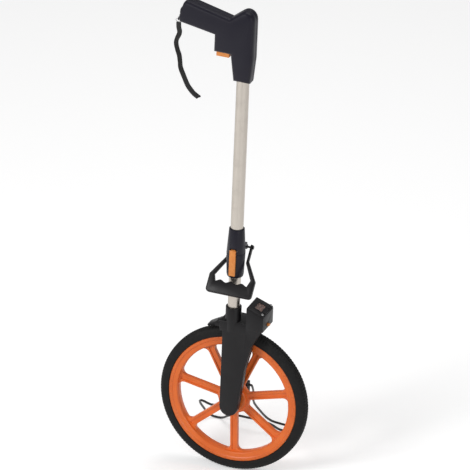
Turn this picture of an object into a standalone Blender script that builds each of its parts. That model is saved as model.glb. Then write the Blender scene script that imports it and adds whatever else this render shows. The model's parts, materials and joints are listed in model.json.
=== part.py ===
"""Folding measuring wheel: a one metre wheel on a single-sided fork with a drum
counter, a folding pole with a brake trigger, a carry handle and a wire kickstand.

Metres, +Z up.  The wheel leans on its kickstand, so every part hangs from one leaning
empty.  Under that empty X is the rolling direction, Y runs along the axle away from
the fork, Z runs up the pole, and the origin is the centre of the wheel.
"""

import math

import bmesh
import bpy
from mathutils import Vector

# Driving sizes of the whole tool
WHEEL_CIRCUMFERENCE = 1.0
LEAN = math.radians(5.8)
CLEARANCE = 0.0003
OVERRUN = 0.002
ROUND_STEPS = 16
WHEEL_STEPS = 60
MERGE = 0.00001

# Tyre
TYRE_RADIUS = WHEEL_CIRCUMFERENCE / (2.0 * math.pi)
TYRE_HALF_WIDTH = 0.0145
TYRE_HEIGHT = 0.020155
TREAD_HALF_WIDTH = 0.0075
SHOULDER_DROP = 0.0035
SHOULDER_HALF_WIDTH = 0.0118
SIDEWALL_DROP = 0.0095
GROOVE_PLACE = 0.0030
GROOVE_HALF_WIDTH = 0.0008
GROOVE_DEPTH = 0.0012

# Wheel moulding
RIM_BAND = 0.0180
RIM_RADIUS = TYRE_RADIUS - TYRE_HEIGHT
RIM_INNER_RADIUS = RIM_RADIUS - RIM_BAND
RIM_HALF_WIDTH = 0.0130
RIM_LIP = 0.0065
RIM_STEP = 0.0016
RIM_EDGE = 0.0010
RIM_FAR_WALL = 0.0090
WEB_HALF_THICKNESS = 0.0050
WEB_LAP = 0.0030
WINDOW_LIP = 0.0006
SPOKES = 7
FIRST_SPOKE = math.radians(-87.8)
SPOKE_WIDTH = 0.0150
SPOKE_CHANNEL_WIDTH = 0.0080
SPOKE_CHANNEL_DEPTH = 0.0022
WINDOW_OUTER_FILLET = 0.0110
WINDOW_INNER_FILLET = 0.0050
HUB_RADIUS = 0.0290
HUB_INNER_RADIUS = 0.0340
HUB_HALF_WIDTH = 0.0130
HUB_EDGE = 0.0020

# Axle, its bushes and what it holds
AXLE_RADIUS = 0.0040
AXLE_HEAD_DEPTH = 0.0010
BUSH_WALL = 0.0030
BUSH_LENGTH = 0.0090
BUSH_FLANGE = 0.0015
BUSH_FLANGE_WALL = 0.0055
WASHER_RADIUS = 0.0100
WASHER_THICKNESS = 0.0016
NUT_RADIUS = 0.0075
NUT_HEIGHT = 0.0060

# Fork leg, counted from its flat outer face
LEG_OUTER_FACE = -0.0400
LEG_THICKNESS = 0.0200
LEG_COVER_THICKNESS = 0.0020
LEG_LEFT = -0.0185
LEG_FOOT_DROP = 0.0265
LEG_FOOT_RADIUS = 0.0195
LEG_KNEE = (0.0320, 0.0800)
LEG_SHOULDER = (0.0465, 0.1400)
LEG_EDGE_ROUND = 0.0030
LEG_WALL = 0.0018
COVER_INSET = 0.0012

# Crown and pole socket
POLE_Y = -0.0260
CROWN_BOTTOM = 0.1635
CROWN_TOP = 0.1880
CROWN_LEFT = -0.0250
CROWN_FAR_FACE = 0.0140
CROWN_NEAR_FACE = -0.0402
SOCKET_RADIUS = 0.0163
SOCKET_TOP = 0.2185
SOCKET_SEAT = 0.1840
SOCKET_LIP = 0.0010

# Belt drive inside the leg
PULLEY_RADIUS = 0.0085
PULLEY_WIDTH = 0.0060
PULLEY_FLANGE = 0.0010
PULLEY_FLANGE_RISE = 0.0016
BELT_THICKNESS = 0.0013
HUB_SLEEVE_RADIUS = 0.0064
BELT_ROOM = 0.0006

# Counter
COUNTER_LEFT = 0.0330
COUNTER_RIGHT = 0.0700
COUNTER_FAR_FACE = 0.0170
COUNTER_BOTTOM = 0.1780
COUNTER_WALL = 0.0022
COUNTER_AXIS = (0.0475, 0.1970)
COUNTER_SHAFT_RADIUS = 0.0016
COUNTER_SHAFT_SEAT = 0.0012
FACE_POINT = (0.0520, 0.2200)
FACE_SLOPE = math.radians(20.0)
LID_THICKNESS = 0.0028
LID_INSET = 0.0004
WINDOW_ALONG = 0.0260
WINDOW_ACROSS = 0.0160
WINDOW_Y = -0.0120
WINDOW_THICKNESS = 0.0020
WINDOW_FRAME = 0.0020
WINDOW_FRAME_RISE = 0.0010
LID_EAR = 0.0030
DRUMS = 5
DRUM_RADIUS = 0.0110
DRUM_WIDTH = 0.0046
DRUM_PITCH = 0.0050
RESET_PIVOT = (0.0640, 0.1848)
RESET_PIN_RADIUS = 0.0012
RESET_ARM_HALF = 0.0040
RESET_ARM_THICKNESS = 0.0030
RESET_TIP = 0.0045
RESET_SLOT = (0.0060, 0.0042)

# Brake under the crown
ROD_RADIUS = 0.0030
BRAKE_TRAVEL = 0.0042
SHOE_LEFT = -0.0620
SHOE_RIGHT = -0.0275
SHOE_HALF_WIDTH = 0.0115
SHOE_TOP = (-0.0255, 0.1770)
SHOE_HEEL = (-0.0560, 0.1600)
PAD_THICKNESS = 0.0035
PAD_GAP = 0.0050
PAD_TRIM = 0.0030
ARM_HALF_WIDTH = 0.0050
ARM_BOTTOM = 0.1680
ARM_TOP = 0.1755
ARM_RIGHT = 0.0050
ARM_ROOM = 0.0012

# Pole and its folding joint
LOWER_TUBE_RADIUS = 0.01255
UPPER_TUBE_RADIUS = 0.0133
TUBE_WALL = 0.0012
SPLIT = 0.3420
HINGE_Y = 0.0045
JOINT_RADIUS = 0.0195
LOWER_JOINT_LENGTH = 0.0530
LOWER_JOINT_BOTTOM = SPLIT - LOWER_JOINT_LENGTH
LOWER_JOINT_FOOT_RADIUS = 0.0165
LOWER_JOINT_SHOULDER = (0.0178, 0.0050)
LOWER_TUBE_STOP = 0.0140
LOWER_TUBE_TOP = SPLIT - LOWER_TUBE_STOP
UPPER_JOINT_LENGTH = 0.0545
UPPER_JOINT_TOP = SPLIT + UPPER_JOINT_LENGTH
UPPER_JOINT_TOP_RADIUS = 0.0160
UPPER_TUBE_STOP = 0.0160
UPPER_TUBE_BOTTOM = SPLIT + UPPER_TUBE_STOP
JOINT_EDGE = 0.0012
LUG_RADIUS = 0.0052
LUG_HALF_WIDTH = 0.0060
OUTER_LUG_WIDTH = 0.0065
HINGE_PIN_RADIUS = 0.0022
HINGE_PIN_HEAD = 0.0036
HINGE_PIN_HEAD_LENGTH = 0.0018

# Latch on the near side of the joint
LATCH_ABOVE = 0.0100
LATCH_BELOW = 0.0470
LATCH_TOP = SPLIT + LATCH_ABOVE
LATCH_SWING_ROOM = 0.0030
LATCH_BOTTOM = SPLIT - LATCH_BELOW
LATCH_HALF_WIDTH = 0.0068
LATCH_FACE = -0.0475
LATCH_BACK = -0.0432
LATCH_EDGE = 0.0010
LATCH_PIVOT_ABOVE = 0.0080
LATCH_PIVOT = (-0.0418, SPLIT + LATCH_PIVOT_ABOVE)
LATCH_EAR_RADIUS = 0.0026
LATCH_EAR_HALF = 0.0045
LATCH_PIN_RADIUS = 0.0010
LATCH_PIN_HALF = 0.0090

# Carry handle, drawn in its own leaning plane: u across, s away from the hinge pin
BAIL_ANGLE = math.radians(51.0)
BAIL_THICKNESS = 0.0110
BAIL_INNER = 0.0202
BAIL_OUTER = 0.0248
BAIL_EYE_RADIUS = 0.0050
BAIL_NECK = 0.0300
BAIL_ELBOW_OUTER = (0.0495, 0.0695)
BAIL_ELBOW_INNER = (0.0392, 0.0690)
BAIL_BAR_TOP = 0.0805
BAIL_BAR_BOTTOM = 0.1075
BAIL_CORNER = 0.0070
FINGER_RISE = 0.0022
FINGER_PITCH = 0.0230
FINGER_SPAN = 0.0345
BAIL_EDGE = 0.0022

# Grip and trigger: X and Z of the outline, with Z counted from the wheel centre
GRIP_HALF_THICKNESS = 0.0172
GRIP_EDGE = 0.0085
GRIP_NECK_BOTTOM = 0.7285
GRIP_NECK_LEFT = -0.0172
GRIP_NECK_RIGHT = 0.0190
GRIP_HEAD_RIGHT = 0.0238
GRIP_HEAD_TOP = 0.8866
GRIP_HEAD_SHOULDER = 0.8650
GRIP_NECK_TOP = 0.7810
GRIP_NECK_TOP_LEFT = -0.0245
TRIGGER_BOX_LEFT = -0.0612
TRIGGER_BOX_BOTTOM = 0.7862
GRIP_UNDER_FRONT = (-0.0612, 0.8235)
GRIP_UNDER_REAR = (-0.1375, 0.8372)
GRIP_NOTCH = (-0.0290, 0.8640)
GRIP_REAR_TOP = (-0.1235, 0.8872)
GRIP_REAR_BULGE = 0.0030
GRIP_TUBE_TOP = 0.7840
TRIGGER_LEFT = -0.0570
TRIGGER_RIGHT = -0.0300
TRIGGER_BOTTOM = 0.7758
TRIGGER_TOP = 0.7950
TRIGGER_HALF_WIDTH = 0.0078
TRIGGER_PIVOT = (-0.0200, 0.7955)
TRIGGER_PIN_RADIUS = 0.0018
TRIGGER_ARM_BOTTOM = 0.7895
TRIGGER_ARM_TOP = 0.8010
TRIGGER_ARM_END = 0.0040
TRIGGER_EDGE = 0.0012
TRIGGER_POCKET_TOP = 0.8090
TRIGGER_POCKET_LEFT = -0.0600
TRIGGER_POCKET_RIGHT = 0.0075
GRIP_SCREWS = [(-0.1180, 0.8610), (-0.0480, 0.8350), (0.0080, 0.8560)]

# Screws
SCREW_RADIUS = 0.0014
SCREW_HEAD_RADIUS = 0.0028
SCREW_HEAD_HEIGHT = 0.0016
SCREW_LENGTH = 0.0100
LEG_SCREWS = [(-0.0140, 0.0300), (-0.0140, 0.0900), (-0.0130, 0.1500), (0.0185, 0.1480)]
LID_SCREW_LENGTH = 0.0080
LID_SCREW_INSET = 0.0045

# Kickstand and its bracket on the far end of the axle
STAND_PIVOT = (0.0260, 0.0200)
STAND_ANGLE = math.radians(50.0)
STAND_WIRE_RADIUS = 0.0025
STAND_SEAT_DEPTH = 0.0110
BRACKET_HALF_WIDTH = 0.0215
BRACKET_BACK = 0.0330
BRACKET_TOP = 0.0275
BRACKET_BOTTOM = -0.0120
BRACKET_EDGE = 0.0020

# Wrist strap and its oval ring under the rear of the grip
RING_CENTRE = (-0.1440, 0.8335)
RING_HALF_LENGTH = 0.0062
RING_HALF_HEIGHT = 0.0036
RING_WIRE_RADIUS = 0.0007
STRAP_LUG = 0.0024
LUG_HALF = 0.0012
STRAP_WIDTH = 0.0098
STRAP_THICKNESS = 0.0014
STRAP_LAYER_GAP = 0.0012

ALONG_AXLE = (-math.pi / 2.0, 0.0, 0.0)
UPRIGHT = (math.pi / 2.0, 0.0, 0.0)
ALONG_X = (0.0, math.pi / 2.0, 0.0)


def clear_scene():
    for item in list(bpy.data.objects):
        bpy.data.objects.remove(item)


def make_collection(name):
    group = bpy.data.collections.new(name)
    bpy.context.scene.collection.children.link(group)
    return group


def make_frame(name, parent, location, rotation=(0.0, 0.0, 0.0)):
    """An empty that carries a group of parts."""
    empty = bpy.data.objects.new(name, None)
    PARTS.objects.link(empty)
    empty.parent = parent
    empty.location = location
    empty.rotation_euler = rotation
    return empty


def finish(colour, roughness, metallic=0.0, alpha=1.0):
    return {"colour": colour, "roughness": roughness, "metallic": metallic, "alpha": alpha}


BLACK = finish((0.012, 0.012, 0.014), 0.55)
NAVY = finish((0.010, 0.009, 0.020), 0.50)
RUBBER = finish((0.010, 0.010, 0.010), 0.85)
ORANGE = finish((0.610, 0.102, 0.026), 0.45)
PALE_ORANGE = finish((0.680, 0.240, 0.060), 0.45)
ALUMINIUM = finish((0.600, 0.560, 0.500), 0.35, 1.0)
STEEL = finish((0.500, 0.500, 0.500), 0.30, 1.0)
BRASS = finish((0.600, 0.450, 0.200), 0.35, 1.0)
DARK_STEEL = finish((0.030, 0.030, 0.030), 0.40, 0.6)
CREAM = finish((0.800, 0.780, 0.700), 0.60)
SMOKED = finish((0.230, 0.130, 0.110), 0.15, 0.0, 0.6)


def paint(item, look):
    material = bpy.data.materials.new(item.name + "_finish")
    material.use_nodes = True
    shader = material.node_tree.nodes["Principled BSDF"]
    shader.inputs["Base Color"].default_value = (*look["colour"], 1.0)
    shader.inputs["Roughness"].default_value = look["roughness"]
    shader.inputs["Metallic"].default_value = look["metallic"]
    shader.inputs["Alpha"].default_value = look["alpha"]
    item.data.materials.clear()
    item.data.materials.append(material)


def place(item, look, parent, location=(0.0, 0.0, 0.0), rotation=(0.0, 0.0, 0.0)):
    """Put a shape on its parent, as a part when it has a look and as a cutter when not."""
    item.parent = parent
    item.location = location
    item.rotation_euler = rotation
    if look:
        PARTS.objects.link(item)
        paint(item, look)
    else:
        CUTTERS.objects.link(item)
        item.hide_render = True
        item.display_type = "WIRE"
    return item


def mesh_from(bm, name):
    mesh = bpy.data.meshes.new(name)
    bm.to_mesh(mesh)
    bm.free()
    return bpy.data.objects.new(name, mesh)


def box(name, low, high, edge=0.0):
    """A box between two corners, with rounded edges if edge is given."""
    bm = bmesh.new()
    bmesh.ops.create_cube(bm, size=1.0)
    for vert in bm.verts:
        for axis in range(3):
            middle = (low[axis] + high[axis]) / 2.0
            vert.co[axis] = middle + vert.co[axis] * (high[axis] - low[axis])
    if edge:
        bmesh.ops.bevel(bm, geom=bm.edges[:], offset=edge, segments=2, profile=0.5, affect="EDGES")
    return mesh_from(bm, name)


def cylinder(name, radius, low, high, steps=ROUND_STEPS):
    """A cylinder along its own Z from low to high."""
    bm = bmesh.new()
    bmesh.ops.create_cone(
        bm, cap_ends=True, segments=steps, radius1=radius, radius2=radius, depth=high - low
    )
    bmesh.ops.translate(bm, verts=bm.verts[:], vec=(0.0, 0.0, (high + low) / 2.0))
    return mesh_from(bm, name)


def turned(name, profile, steps=ROUND_STEPS, ring=False):
    """A turned shape: (radius, height) points, top to bottom down its outer side."""
    mesh = bpy.data.meshes.new(name)
    points = [(radius, 0.0, height) for radius, height in profile]
    edges = [(at, at + 1) for at in range(len(points) - 1)]
    if ring:
        edges.append((len(points) - 1, 0))
    mesh.from_pydata(points, edges, [])
    item = bpy.data.objects.new(name, mesh)
    screw = item.modifiers.new("turn", "SCREW")
    screw.axis = "Z"
    screw.angle = 2.0 * math.pi
    screw.steps = steps
    screw.render_steps = steps
    screw.use_merge_vertices = True
    screw.merge_threshold = MERGE
    return item


def curve_to_object(curve, name):
    """The solid mesh of a curve, with its loose caps welded on."""
    source = bpy.data.objects.new(name + "_curve", curve)
    bpy.context.scene.collection.objects.link(source)
    depsgraph = bpy.context.evaluated_depsgraph_get()
    mesh = bpy.data.meshes.new_from_object(source.evaluated_get(depsgraph))
    bpy.data.objects.remove(source)
    bm = bmesh.new()
    bm.from_mesh(mesh)
    bmesh.ops.remove_doubles(bm, verts=bm.verts[:], dist=MERGE)
    bmesh.ops.recalc_face_normals(bm, faces=bm.faces[:])
    bpy.data.meshes.remove(mesh)
    return mesh_from(bm, name)


def plate(name, outlines, low, high, edge=0.0, one_side=False, segments=2):
    """A flat plate from closed (x, y) outlines, the later ones holes, between two heights."""
    curve = bpy.data.curves.new(name, "CURVE")
    curve.dimensions = "2D"
    curve.fill_mode = "BOTH"
    curve.extrude = (high - low) / 2.0
    for outline in outlines:
        spline = curve.splines.new("POLY")
        spline.points.add(len(outline) - 1)
        for point, (x, y) in zip(spline.points, outline):
            point.co = (x, y, 0.0, 1.0)
        spline.use_cyclic_u = True
    item = curve_to_object(curve, name)
    bm = bmesh.new()
    bm.from_mesh(item.data)
    bmesh.ops.translate(bm, verts=bm.verts[:], vec=(0.0, 0.0, (high + low) / 2.0))
    bmesh.ops.dissolve_limit(
        bm, angle_limit=math.radians(1.0), verts=bm.verts[:], edges=bm.edges[:]
    )
    if edge:
        rims = [line for line in bm.edges if on_rim(line, low, high, one_side)]
        bmesh.ops.bevel(
            bm, geom=rims, offset=edge, segments=segments, profile=0.5, affect="EDGES"
        )
    bm.to_mesh(item.data)
    bm.free()
    return item


def on_rim(line, low, high, one_side):
    """Whether an edge runs round a face of a plate, or round its lower face alone."""
    heights = [vert.co.z for vert in line.verts]
    on_low = all(abs(height - low) < MERGE for height in heights)
    on_high = all(abs(height - high) < MERGE for height in heights)
    return on_low or (on_high and not one_side)


def wire(name, points, radius, sides=2, closed=False):
    """A round wire through the points, with filled ends."""
    curve = bpy.data.curves.new(name, "CURVE")
    curve.dimensions = "3D"
    curve.bevel_depth = radius
    curve.bevel_resolution = sides
    curve.use_fill_caps = not closed
    spline = curve.splines.new("POLY")
    spline.points.add(len(points) - 1)
    for point, place_at in zip(spline.points, points):
        point.co = (*place_at, 1.0)
    spline.use_cyclic_u = closed
    return curve_to_object(curve, name)


def combine(item, tool, operation):
    boolean = item.modifiers.new(tool.name, "BOOLEAN")
    boolean.operation = operation
    boolean.solver = "EXACT"
    boolean.object = tool


def cut(item, tool):
    combine(item, tool, "DIFFERENCE")


def join(item, tool):
    combine(item, tool, "UNION")


def arc(centre, radius, start, stop, steps):
    """Points on an arc, its ends among them; angles in radians."""
    turn = [start + (stop - start) * at / steps for at in range(steps + 1)]
    return [(centre[0] + radius * math.cos(a), centre[1] + radius * math.sin(a)) for a in turn]


def rectangle(low, high):
    return [(low[0], low[1]), (high[0], low[1]), (high[0], high[1]), (low[0], high[1])]


def smooth_route(points, per_leg):
    """Points on one smooth curve through the given ones."""
    ends = [points[0]] + list(points) + [points[-1]]
    route = []
    for at in range(len(points) - 1):
        before, start, stop, after = (Vector(p) for p in ends[at : at + 4])
        for step in range(per_leg):
            t = step / per_leg
            lead = (stop - before) * 0.5
            tail = (after - start) * 0.5
            a = 2 * t**3 - 3 * t**2 + 1
            b = t**3 - 2 * t**2 + t
            c = -2 * t**3 + 3 * t**2
            d = t**3 - t**2
            route.append(start * a + lead * b + stop * c + tail * d)
    route.append(Vector(points[-1]))
    return route


def screw_profile(radius, head_radius, head_height, length):
    return [
        (0.0, head_height),
        (head_radius, head_height),
        (head_radius, 0.0),
        (radius, 0.0),
        (radius, -length),
        (0.0, -length),
    ]


def tyre_profile():
    """Half of the tyre's section mirrored about the tread's middle, as one closed ring."""
    seat = RIM_RADIUS + CLEARANCE
    side = [
        (seat, TYRE_HALF_WIDTH - RIM_EDGE),
        (seat + RIM_EDGE, TYRE_HALF_WIDTH),
        (TYRE_RADIUS - SIDEWALL_DROP, TYRE_HALF_WIDTH),
        (TYRE_RADIUS - SHOULDER_DROP, SHOULDER_HALF_WIDTH),
        (TYRE_RADIUS, TREAD_HALF_WIDTH),
        (TYRE_RADIUS, GROOVE_PLACE + GROOVE_HALF_WIDTH),
        (TYRE_RADIUS - GROOVE_DEPTH, GROOVE_PLACE + GROOVE_HALF_WIDTH),
        (TYRE_RADIUS - GROOVE_DEPTH, GROOVE_PLACE - GROOVE_HALF_WIDTH),
        (TYRE_RADIUS, GROOVE_PLACE - GROOVE_HALF_WIDTH),
    ]
    return side + [(radius, -height) for radius, height in reversed(side)]


def make_tyre(wheel):
    tyre = turned("tyre", tyre_profile(), WHEEL_STEPS, ring=True)
    place(tyre, RUBBER, wheel, rotation=ALONG_AXLE)


def window_outline(start):
    """One window between two spokes, with rounded corners, from the spoke at start."""
    half = SPOKE_WIDTH / 2.0
    outer = RIM_INNER_RADIUS - WINDOW_LIP
    pitch = 2.0 * math.pi / SPOKES
    reach = outer - WINDOW_OUTER_FILLET
    outer_turn = math.asin((half + WINDOW_OUTER_FILLET) / reach)
    foot = HUB_INNER_RADIUS + WINDOW_INNER_FILLET
    inner_turn = math.asin((half + WINDOW_INNER_FILLET) / foot)
    outer_at = (reach * math.cos(outer_turn), reach * math.sin(outer_turn))
    inner_at = (foot * math.cos(inner_turn), foot * math.sin(inner_turn))
    side = arc(inner_at, WINDOW_INNER_FILLET, inner_turn - math.pi, -math.pi / 2.0, 3)
    side += arc(outer_at, WINDOW_OUTER_FILLET, -math.pi / 2.0, outer_turn, 4)
    middle = arc((0.0, 0.0), outer, outer_turn, pitch - outer_turn, 6)[1:-1]
    mirrored = [mirror_about(point, pitch / 2.0) for point in reversed(side)]
    return [spun(point, start) for point in side + middle + mirrored]


def spun(point, angle):
    x, y = point
    return (
        x * math.cos(angle) - y * math.sin(angle),
        x * math.sin(angle) + y * math.cos(angle),
    )


def mirror_about(point, angle):
    """The mirror image of a point in a line through the centre at the given angle."""
    x, y = spun(point, -angle)
    return spun((x, -y), angle)


def make_rim(wheel):
    """The orange moulding: a stepped rim, a web with seven windows, and a hub."""
    lip = RIM_RADIUS - RIM_LIP
    rim_profile = [
        (RIM_RADIUS - RIM_EDGE, RIM_HALF_WIDTH),
        (RIM_RADIUS, RIM_HALF_WIDTH - RIM_EDGE),
        (RIM_RADIUS, RIM_EDGE - RIM_HALF_WIDTH),
        (RIM_RADIUS - RIM_EDGE, -RIM_HALF_WIDTH),
        (lip, -RIM_HALF_WIDTH),
        (lip - RIM_STEP, RIM_STEP - RIM_HALF_WIDTH),
        (RIM_INNER_RADIUS + RIM_STEP, RIM_STEP - RIM_HALF_WIDTH),
        (RIM_INNER_RADIUS, 2.0 * RIM_STEP - RIM_HALF_WIDTH),
        (RIM_INNER_RADIUS, RIM_FAR_WALL),
        (lip - RIM_STEP, RIM_FAR_WALL),
        (lip, RIM_HALF_WIDTH),
    ]
    rim = turned("wheel_rim", rim_profile, WHEEL_STEPS, ring=True)
    place(rim, ORANGE, wheel, rotation=ALONG_AXLE)
    pitch = 2.0 * math.pi / SPOKES
    spokes = [FIRST_SPOKE + pitch * at for at in range(SPOKES)]
    web_radius = RIM_INNER_RADIUS + WEB_LAP
    outline = arc((0.0, 0.0), web_radius, 0.0, 2.0 * math.pi, WHEEL_STEPS)[:-1]
    windows = [window_outline(angle) for angle in spokes]
    web = plate("web", [outline] + windows, -WEB_HALF_THICKNESS, WEB_HALF_THICKNESS)
    join(rim, place(web, None, wheel, rotation=UPRIGHT))
    hub = turned(
        "hub",
        [
            (0.0, HUB_HALF_WIDTH),
            (HUB_RADIUS - HUB_EDGE, HUB_HALF_WIDTH),
            (HUB_RADIUS, HUB_HALF_WIDTH - HUB_EDGE),
            (HUB_RADIUS, HUB_EDGE - HUB_HALF_WIDTH),
            (HUB_RADIUS - HUB_EDGE, -HUB_HALF_WIDTH),
            (0.0, -HUB_HALF_WIDTH),
        ],
        2 * ROUND_STEPS,
    )
    join(rim, place(hub, None, wheel, rotation=ALONG_AXLE))
    channels = []
    for angle in spokes:
        low = (HUB_INNER_RADIUS, -SPOKE_CHANNEL_WIDTH / 2.0)
        high = (RIM_INNER_RADIUS - SPOKE_CHANNEL_DEPTH, SPOKE_CHANNEL_WIDTH / 2.0)
        channels.append([spun(point, angle) for point in rectangle(low, high)])
    floor = WEB_HALF_THICKNESS - SPOKE_CHANNEL_DEPTH
    for side, name in ((1.0, "near_channels"), (-1.0, "far_channels")):
        heights = sorted((side * floor, side * (WEB_HALF_THICKNESS + OVERRUN)))
        cut(rim, place(plate(name, channels, *heights), None, wheel, rotation=UPRIGHT))
    bore = AXLE_RADIUS + BUSH_WALL + 2.0 * CLEARANCE
    through = HUB_HALF_WIDTH + OVERRUN
    cut(rim, place(cylinder("hub_bore", bore, -through, through), None, wheel, rotation=UPRIGHT))
    seat = HUB_HALF_WIDTH - BUSH_FLANGE - CLEARANCE
    flange = AXLE_RADIUS + BUSH_FLANGE_WALL + 2.0 * CLEARANCE
    for side, name in ((1.0, "far_seat"), (-1.0, "near_seat")):
        heights = sorted((side * seat, side * through))
        cut(rim, place(cylinder(name, flange, *heights), None, wheel, rotation=ALONG_AXLE))


def make_bushes(wheel):
    inner = AXLE_RADIUS + CLEARANCE
    outer = inner + BUSH_WALL
    flange = AXLE_RADIUS + BUSH_FLANGE_WALL
    profile = [
        (inner, HUB_HALF_WIDTH),
        (flange, HUB_HALF_WIDTH),
        (flange, HUB_HALF_WIDTH - BUSH_FLANGE),
        (outer, HUB_HALF_WIDTH - BUSH_FLANGE),
        (outer, HUB_HALF_WIDTH - BUSH_LENGTH),
        (inner, HUB_HALF_WIDTH - BUSH_LENGTH),
    ]
    place(turned("bush_far", profile, ring=True), BRASS, wheel, rotation=ALONG_AXLE)
    place(turned("bush_near", profile, ring=True), BRASS, wheel, rotation=UPRIGHT)


def pulley_profile(bore, width):
    """A flanged belt pulley standing on its own plane, counted up from zero."""
    rise = PULLEY_RADIUS + PULLEY_FLANGE_RISE
    return [
        (bore, width),
        (rise, width),
        (rise, width - PULLEY_FLANGE),
        (PULLEY_RADIUS, width - PULLEY_FLANGE),
        (PULLEY_RADIUS, PULLEY_FLANGE),
        (rise, PULLEY_FLANGE),
        (rise, 0.0),
    ]


def make_hub_pulley(wheel):
    """The belt pulley, on a sleeve that runs from the hub through the leg cover."""
    bore = AXLE_RADIUS + CLEARANCE
    start = HUB_HALF_WIDTH + CLEARANCE
    far_end = pulley_y() + PULLEY_WIDTH / 2.0
    sleeve = -far_end - start
    profile = [(bore, PULLEY_WIDTH)]
    profile += pulley_profile(bore, PULLEY_WIDTH)[1:]
    profile += [(HUB_SLEEVE_RADIUS, 0.0), (HUB_SLEEVE_RADIUS, -sleeve), (bore, -sleeve)]
    pulley = turned("hub_pulley", profile, ring=True)
    place(pulley, BLACK, wheel, (0.0, far_end, 0.0), UPRIGHT)


def pulley_y():
    """The middle of the belt, half way through the leg's hollow."""
    return LEG_OUTER_FACE + 2.0 * LEG_WALL + PULLEY_WIDTH / 2.0


def leg_outline(inset, top):
    """The leg seen from the side: round foot, straight left edge, flaring right edge."""
    centre = (LEG_LEFT + LEG_FOOT_RADIUS, LEG_FOOT_RADIUS - LEG_FOOT_DROP)
    radius = LEG_FOOT_RADIUS - inset
    foot = arc(centre, radius, math.pi, 2.0 * math.pi, 10)
    right = [
        (LEG_KNEE[0] - inset, LEG_KNEE[1]),
        (LEG_SHOULDER[0] - inset, LEG_SHOULDER[1]),
        (COUNTER_RIGHT - COUNTER_WALL - 2.0 * inset, COUNTER_BOTTOM - inset),
    ]
    return foot + right + [(COUNTER_RIGHT - COUNTER_WALL - 2.0 * inset, top), (LEG_LEFT + inset, top)]


def belt_room_outline(room):
    """The stadium round both pulleys, wider than them by room."""
    along = Vector(COUNTER_AXIS)
    across = math.atan2(along.y, along.x) - math.pi / 2.0
    radius = PULLEY_RADIUS + room
    lower = arc((0.0, 0.0), radius, across - math.pi, across, 10)
    upper = arc(COUNTER_AXIS, radius, across, across + math.pi, 10)
    return lower + upper


def counter_box_outline():
    return [
        (COUNTER_LEFT, COUNTER_BOTTOM + LEG_WALL),
        (COUNTER_LEFT + COUNTER_WALL, COUNTER_BOTTOM),
        (COUNTER_RIGHT, COUNTER_BOTTOM),
        (COUNTER_RIGHT, face_height(COUNTER_RIGHT) - LID_THICKNESS),
        (COUNTER_LEFT, face_height(COUNTER_LEFT) - LID_THICKNESS),
    ]


def face_height(x):
    """Height of the counter's sloping face at x."""
    return FACE_POINT[1] - (x - FACE_POINT[0]) * math.tan(FACE_SLOPE)


def make_fork_leg(lean, lid_frame):
    """The one moulding that is leg, crown, pole socket and counter box."""
    inner_face = LEG_OUTER_FACE + LEG_THICKNESS
    body = plate(
        "fork_leg",
        [leg_outline(0.0, CROWN_TOP)],
        -inner_face,
        -LEG_OUTER_FACE,
        LEG_EDGE_ROUND,
    )
    place(body, BLACK, lean, rotation=UPRIGHT)
    crown = box(
        "crown",
        (CROWN_LEFT, CROWN_NEAR_FACE, CROWN_BOTTOM),
        (COUNTER_LEFT + COUNTER_WALL, CROWN_FAR_FACE, CROWN_TOP),
        LEG_EDGE_ROUND,
    )
    join(body, place(crown, None, lean))
    socket = cylinder("socket", SOCKET_RADIUS, CROWN_BOTTOM + LEG_WALL, SOCKET_TOP, 2 * ROUND_STEPS)
    join(body, place(socket, None, lean, (0.0, POLE_Y, 0.0)))
    counter = plate(
        "counter_box",
        [counter_box_outline()],
        -COUNTER_FAR_FACE,
        -LEG_OUTER_FACE + OVERRUN / 10.0,
    )
    join(body, place(counter, None, lean, rotation=UPRIGHT))
    hollow_leg(body, lean, inner_face)
    hollow_counter(body, lean, lid_frame)
    open_crown(body, lean)


def hollow_leg(body, lean, inner_face):
    """Belt room, the seats of the axle and the cover's screws."""
    room = belt_room_outline(PULLEY_FLANGE_RISE + BELT_ROOM)
    low = -(inner_face + OVERRUN)
    belt_room = plate("belt_room", [room], low, -(LEG_OUTER_FACE + 2.0 * LEG_WALL - CLEARANCE))
    cut(body, place(belt_room, None, lean, rotation=UPRIGHT))
    seat = AXLE_RADIUS + CLEARANCE
    axle_hole = cylinder("axle_hole", seat, -inner_face, -axle_near_end() + CLEARANCE)
    cut(body, place(axle_hole, None, lean, rotation=UPRIGHT))
    for at, (x, z) in enumerate(LEG_SCREWS, 1):
        depth = SCREW_LENGTH + CLEARANCE
        hole = cylinder("leg_screw_hole_%d" % at, SCREW_RADIUS + CLEARANCE, -OVERRUN, depth, 12)
        cut(body, place(hole, None, lean, (x, inner_face, z), UPRIGHT))


def axle_near_end():
    return LEG_OUTER_FACE + LEG_WALL


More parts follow.
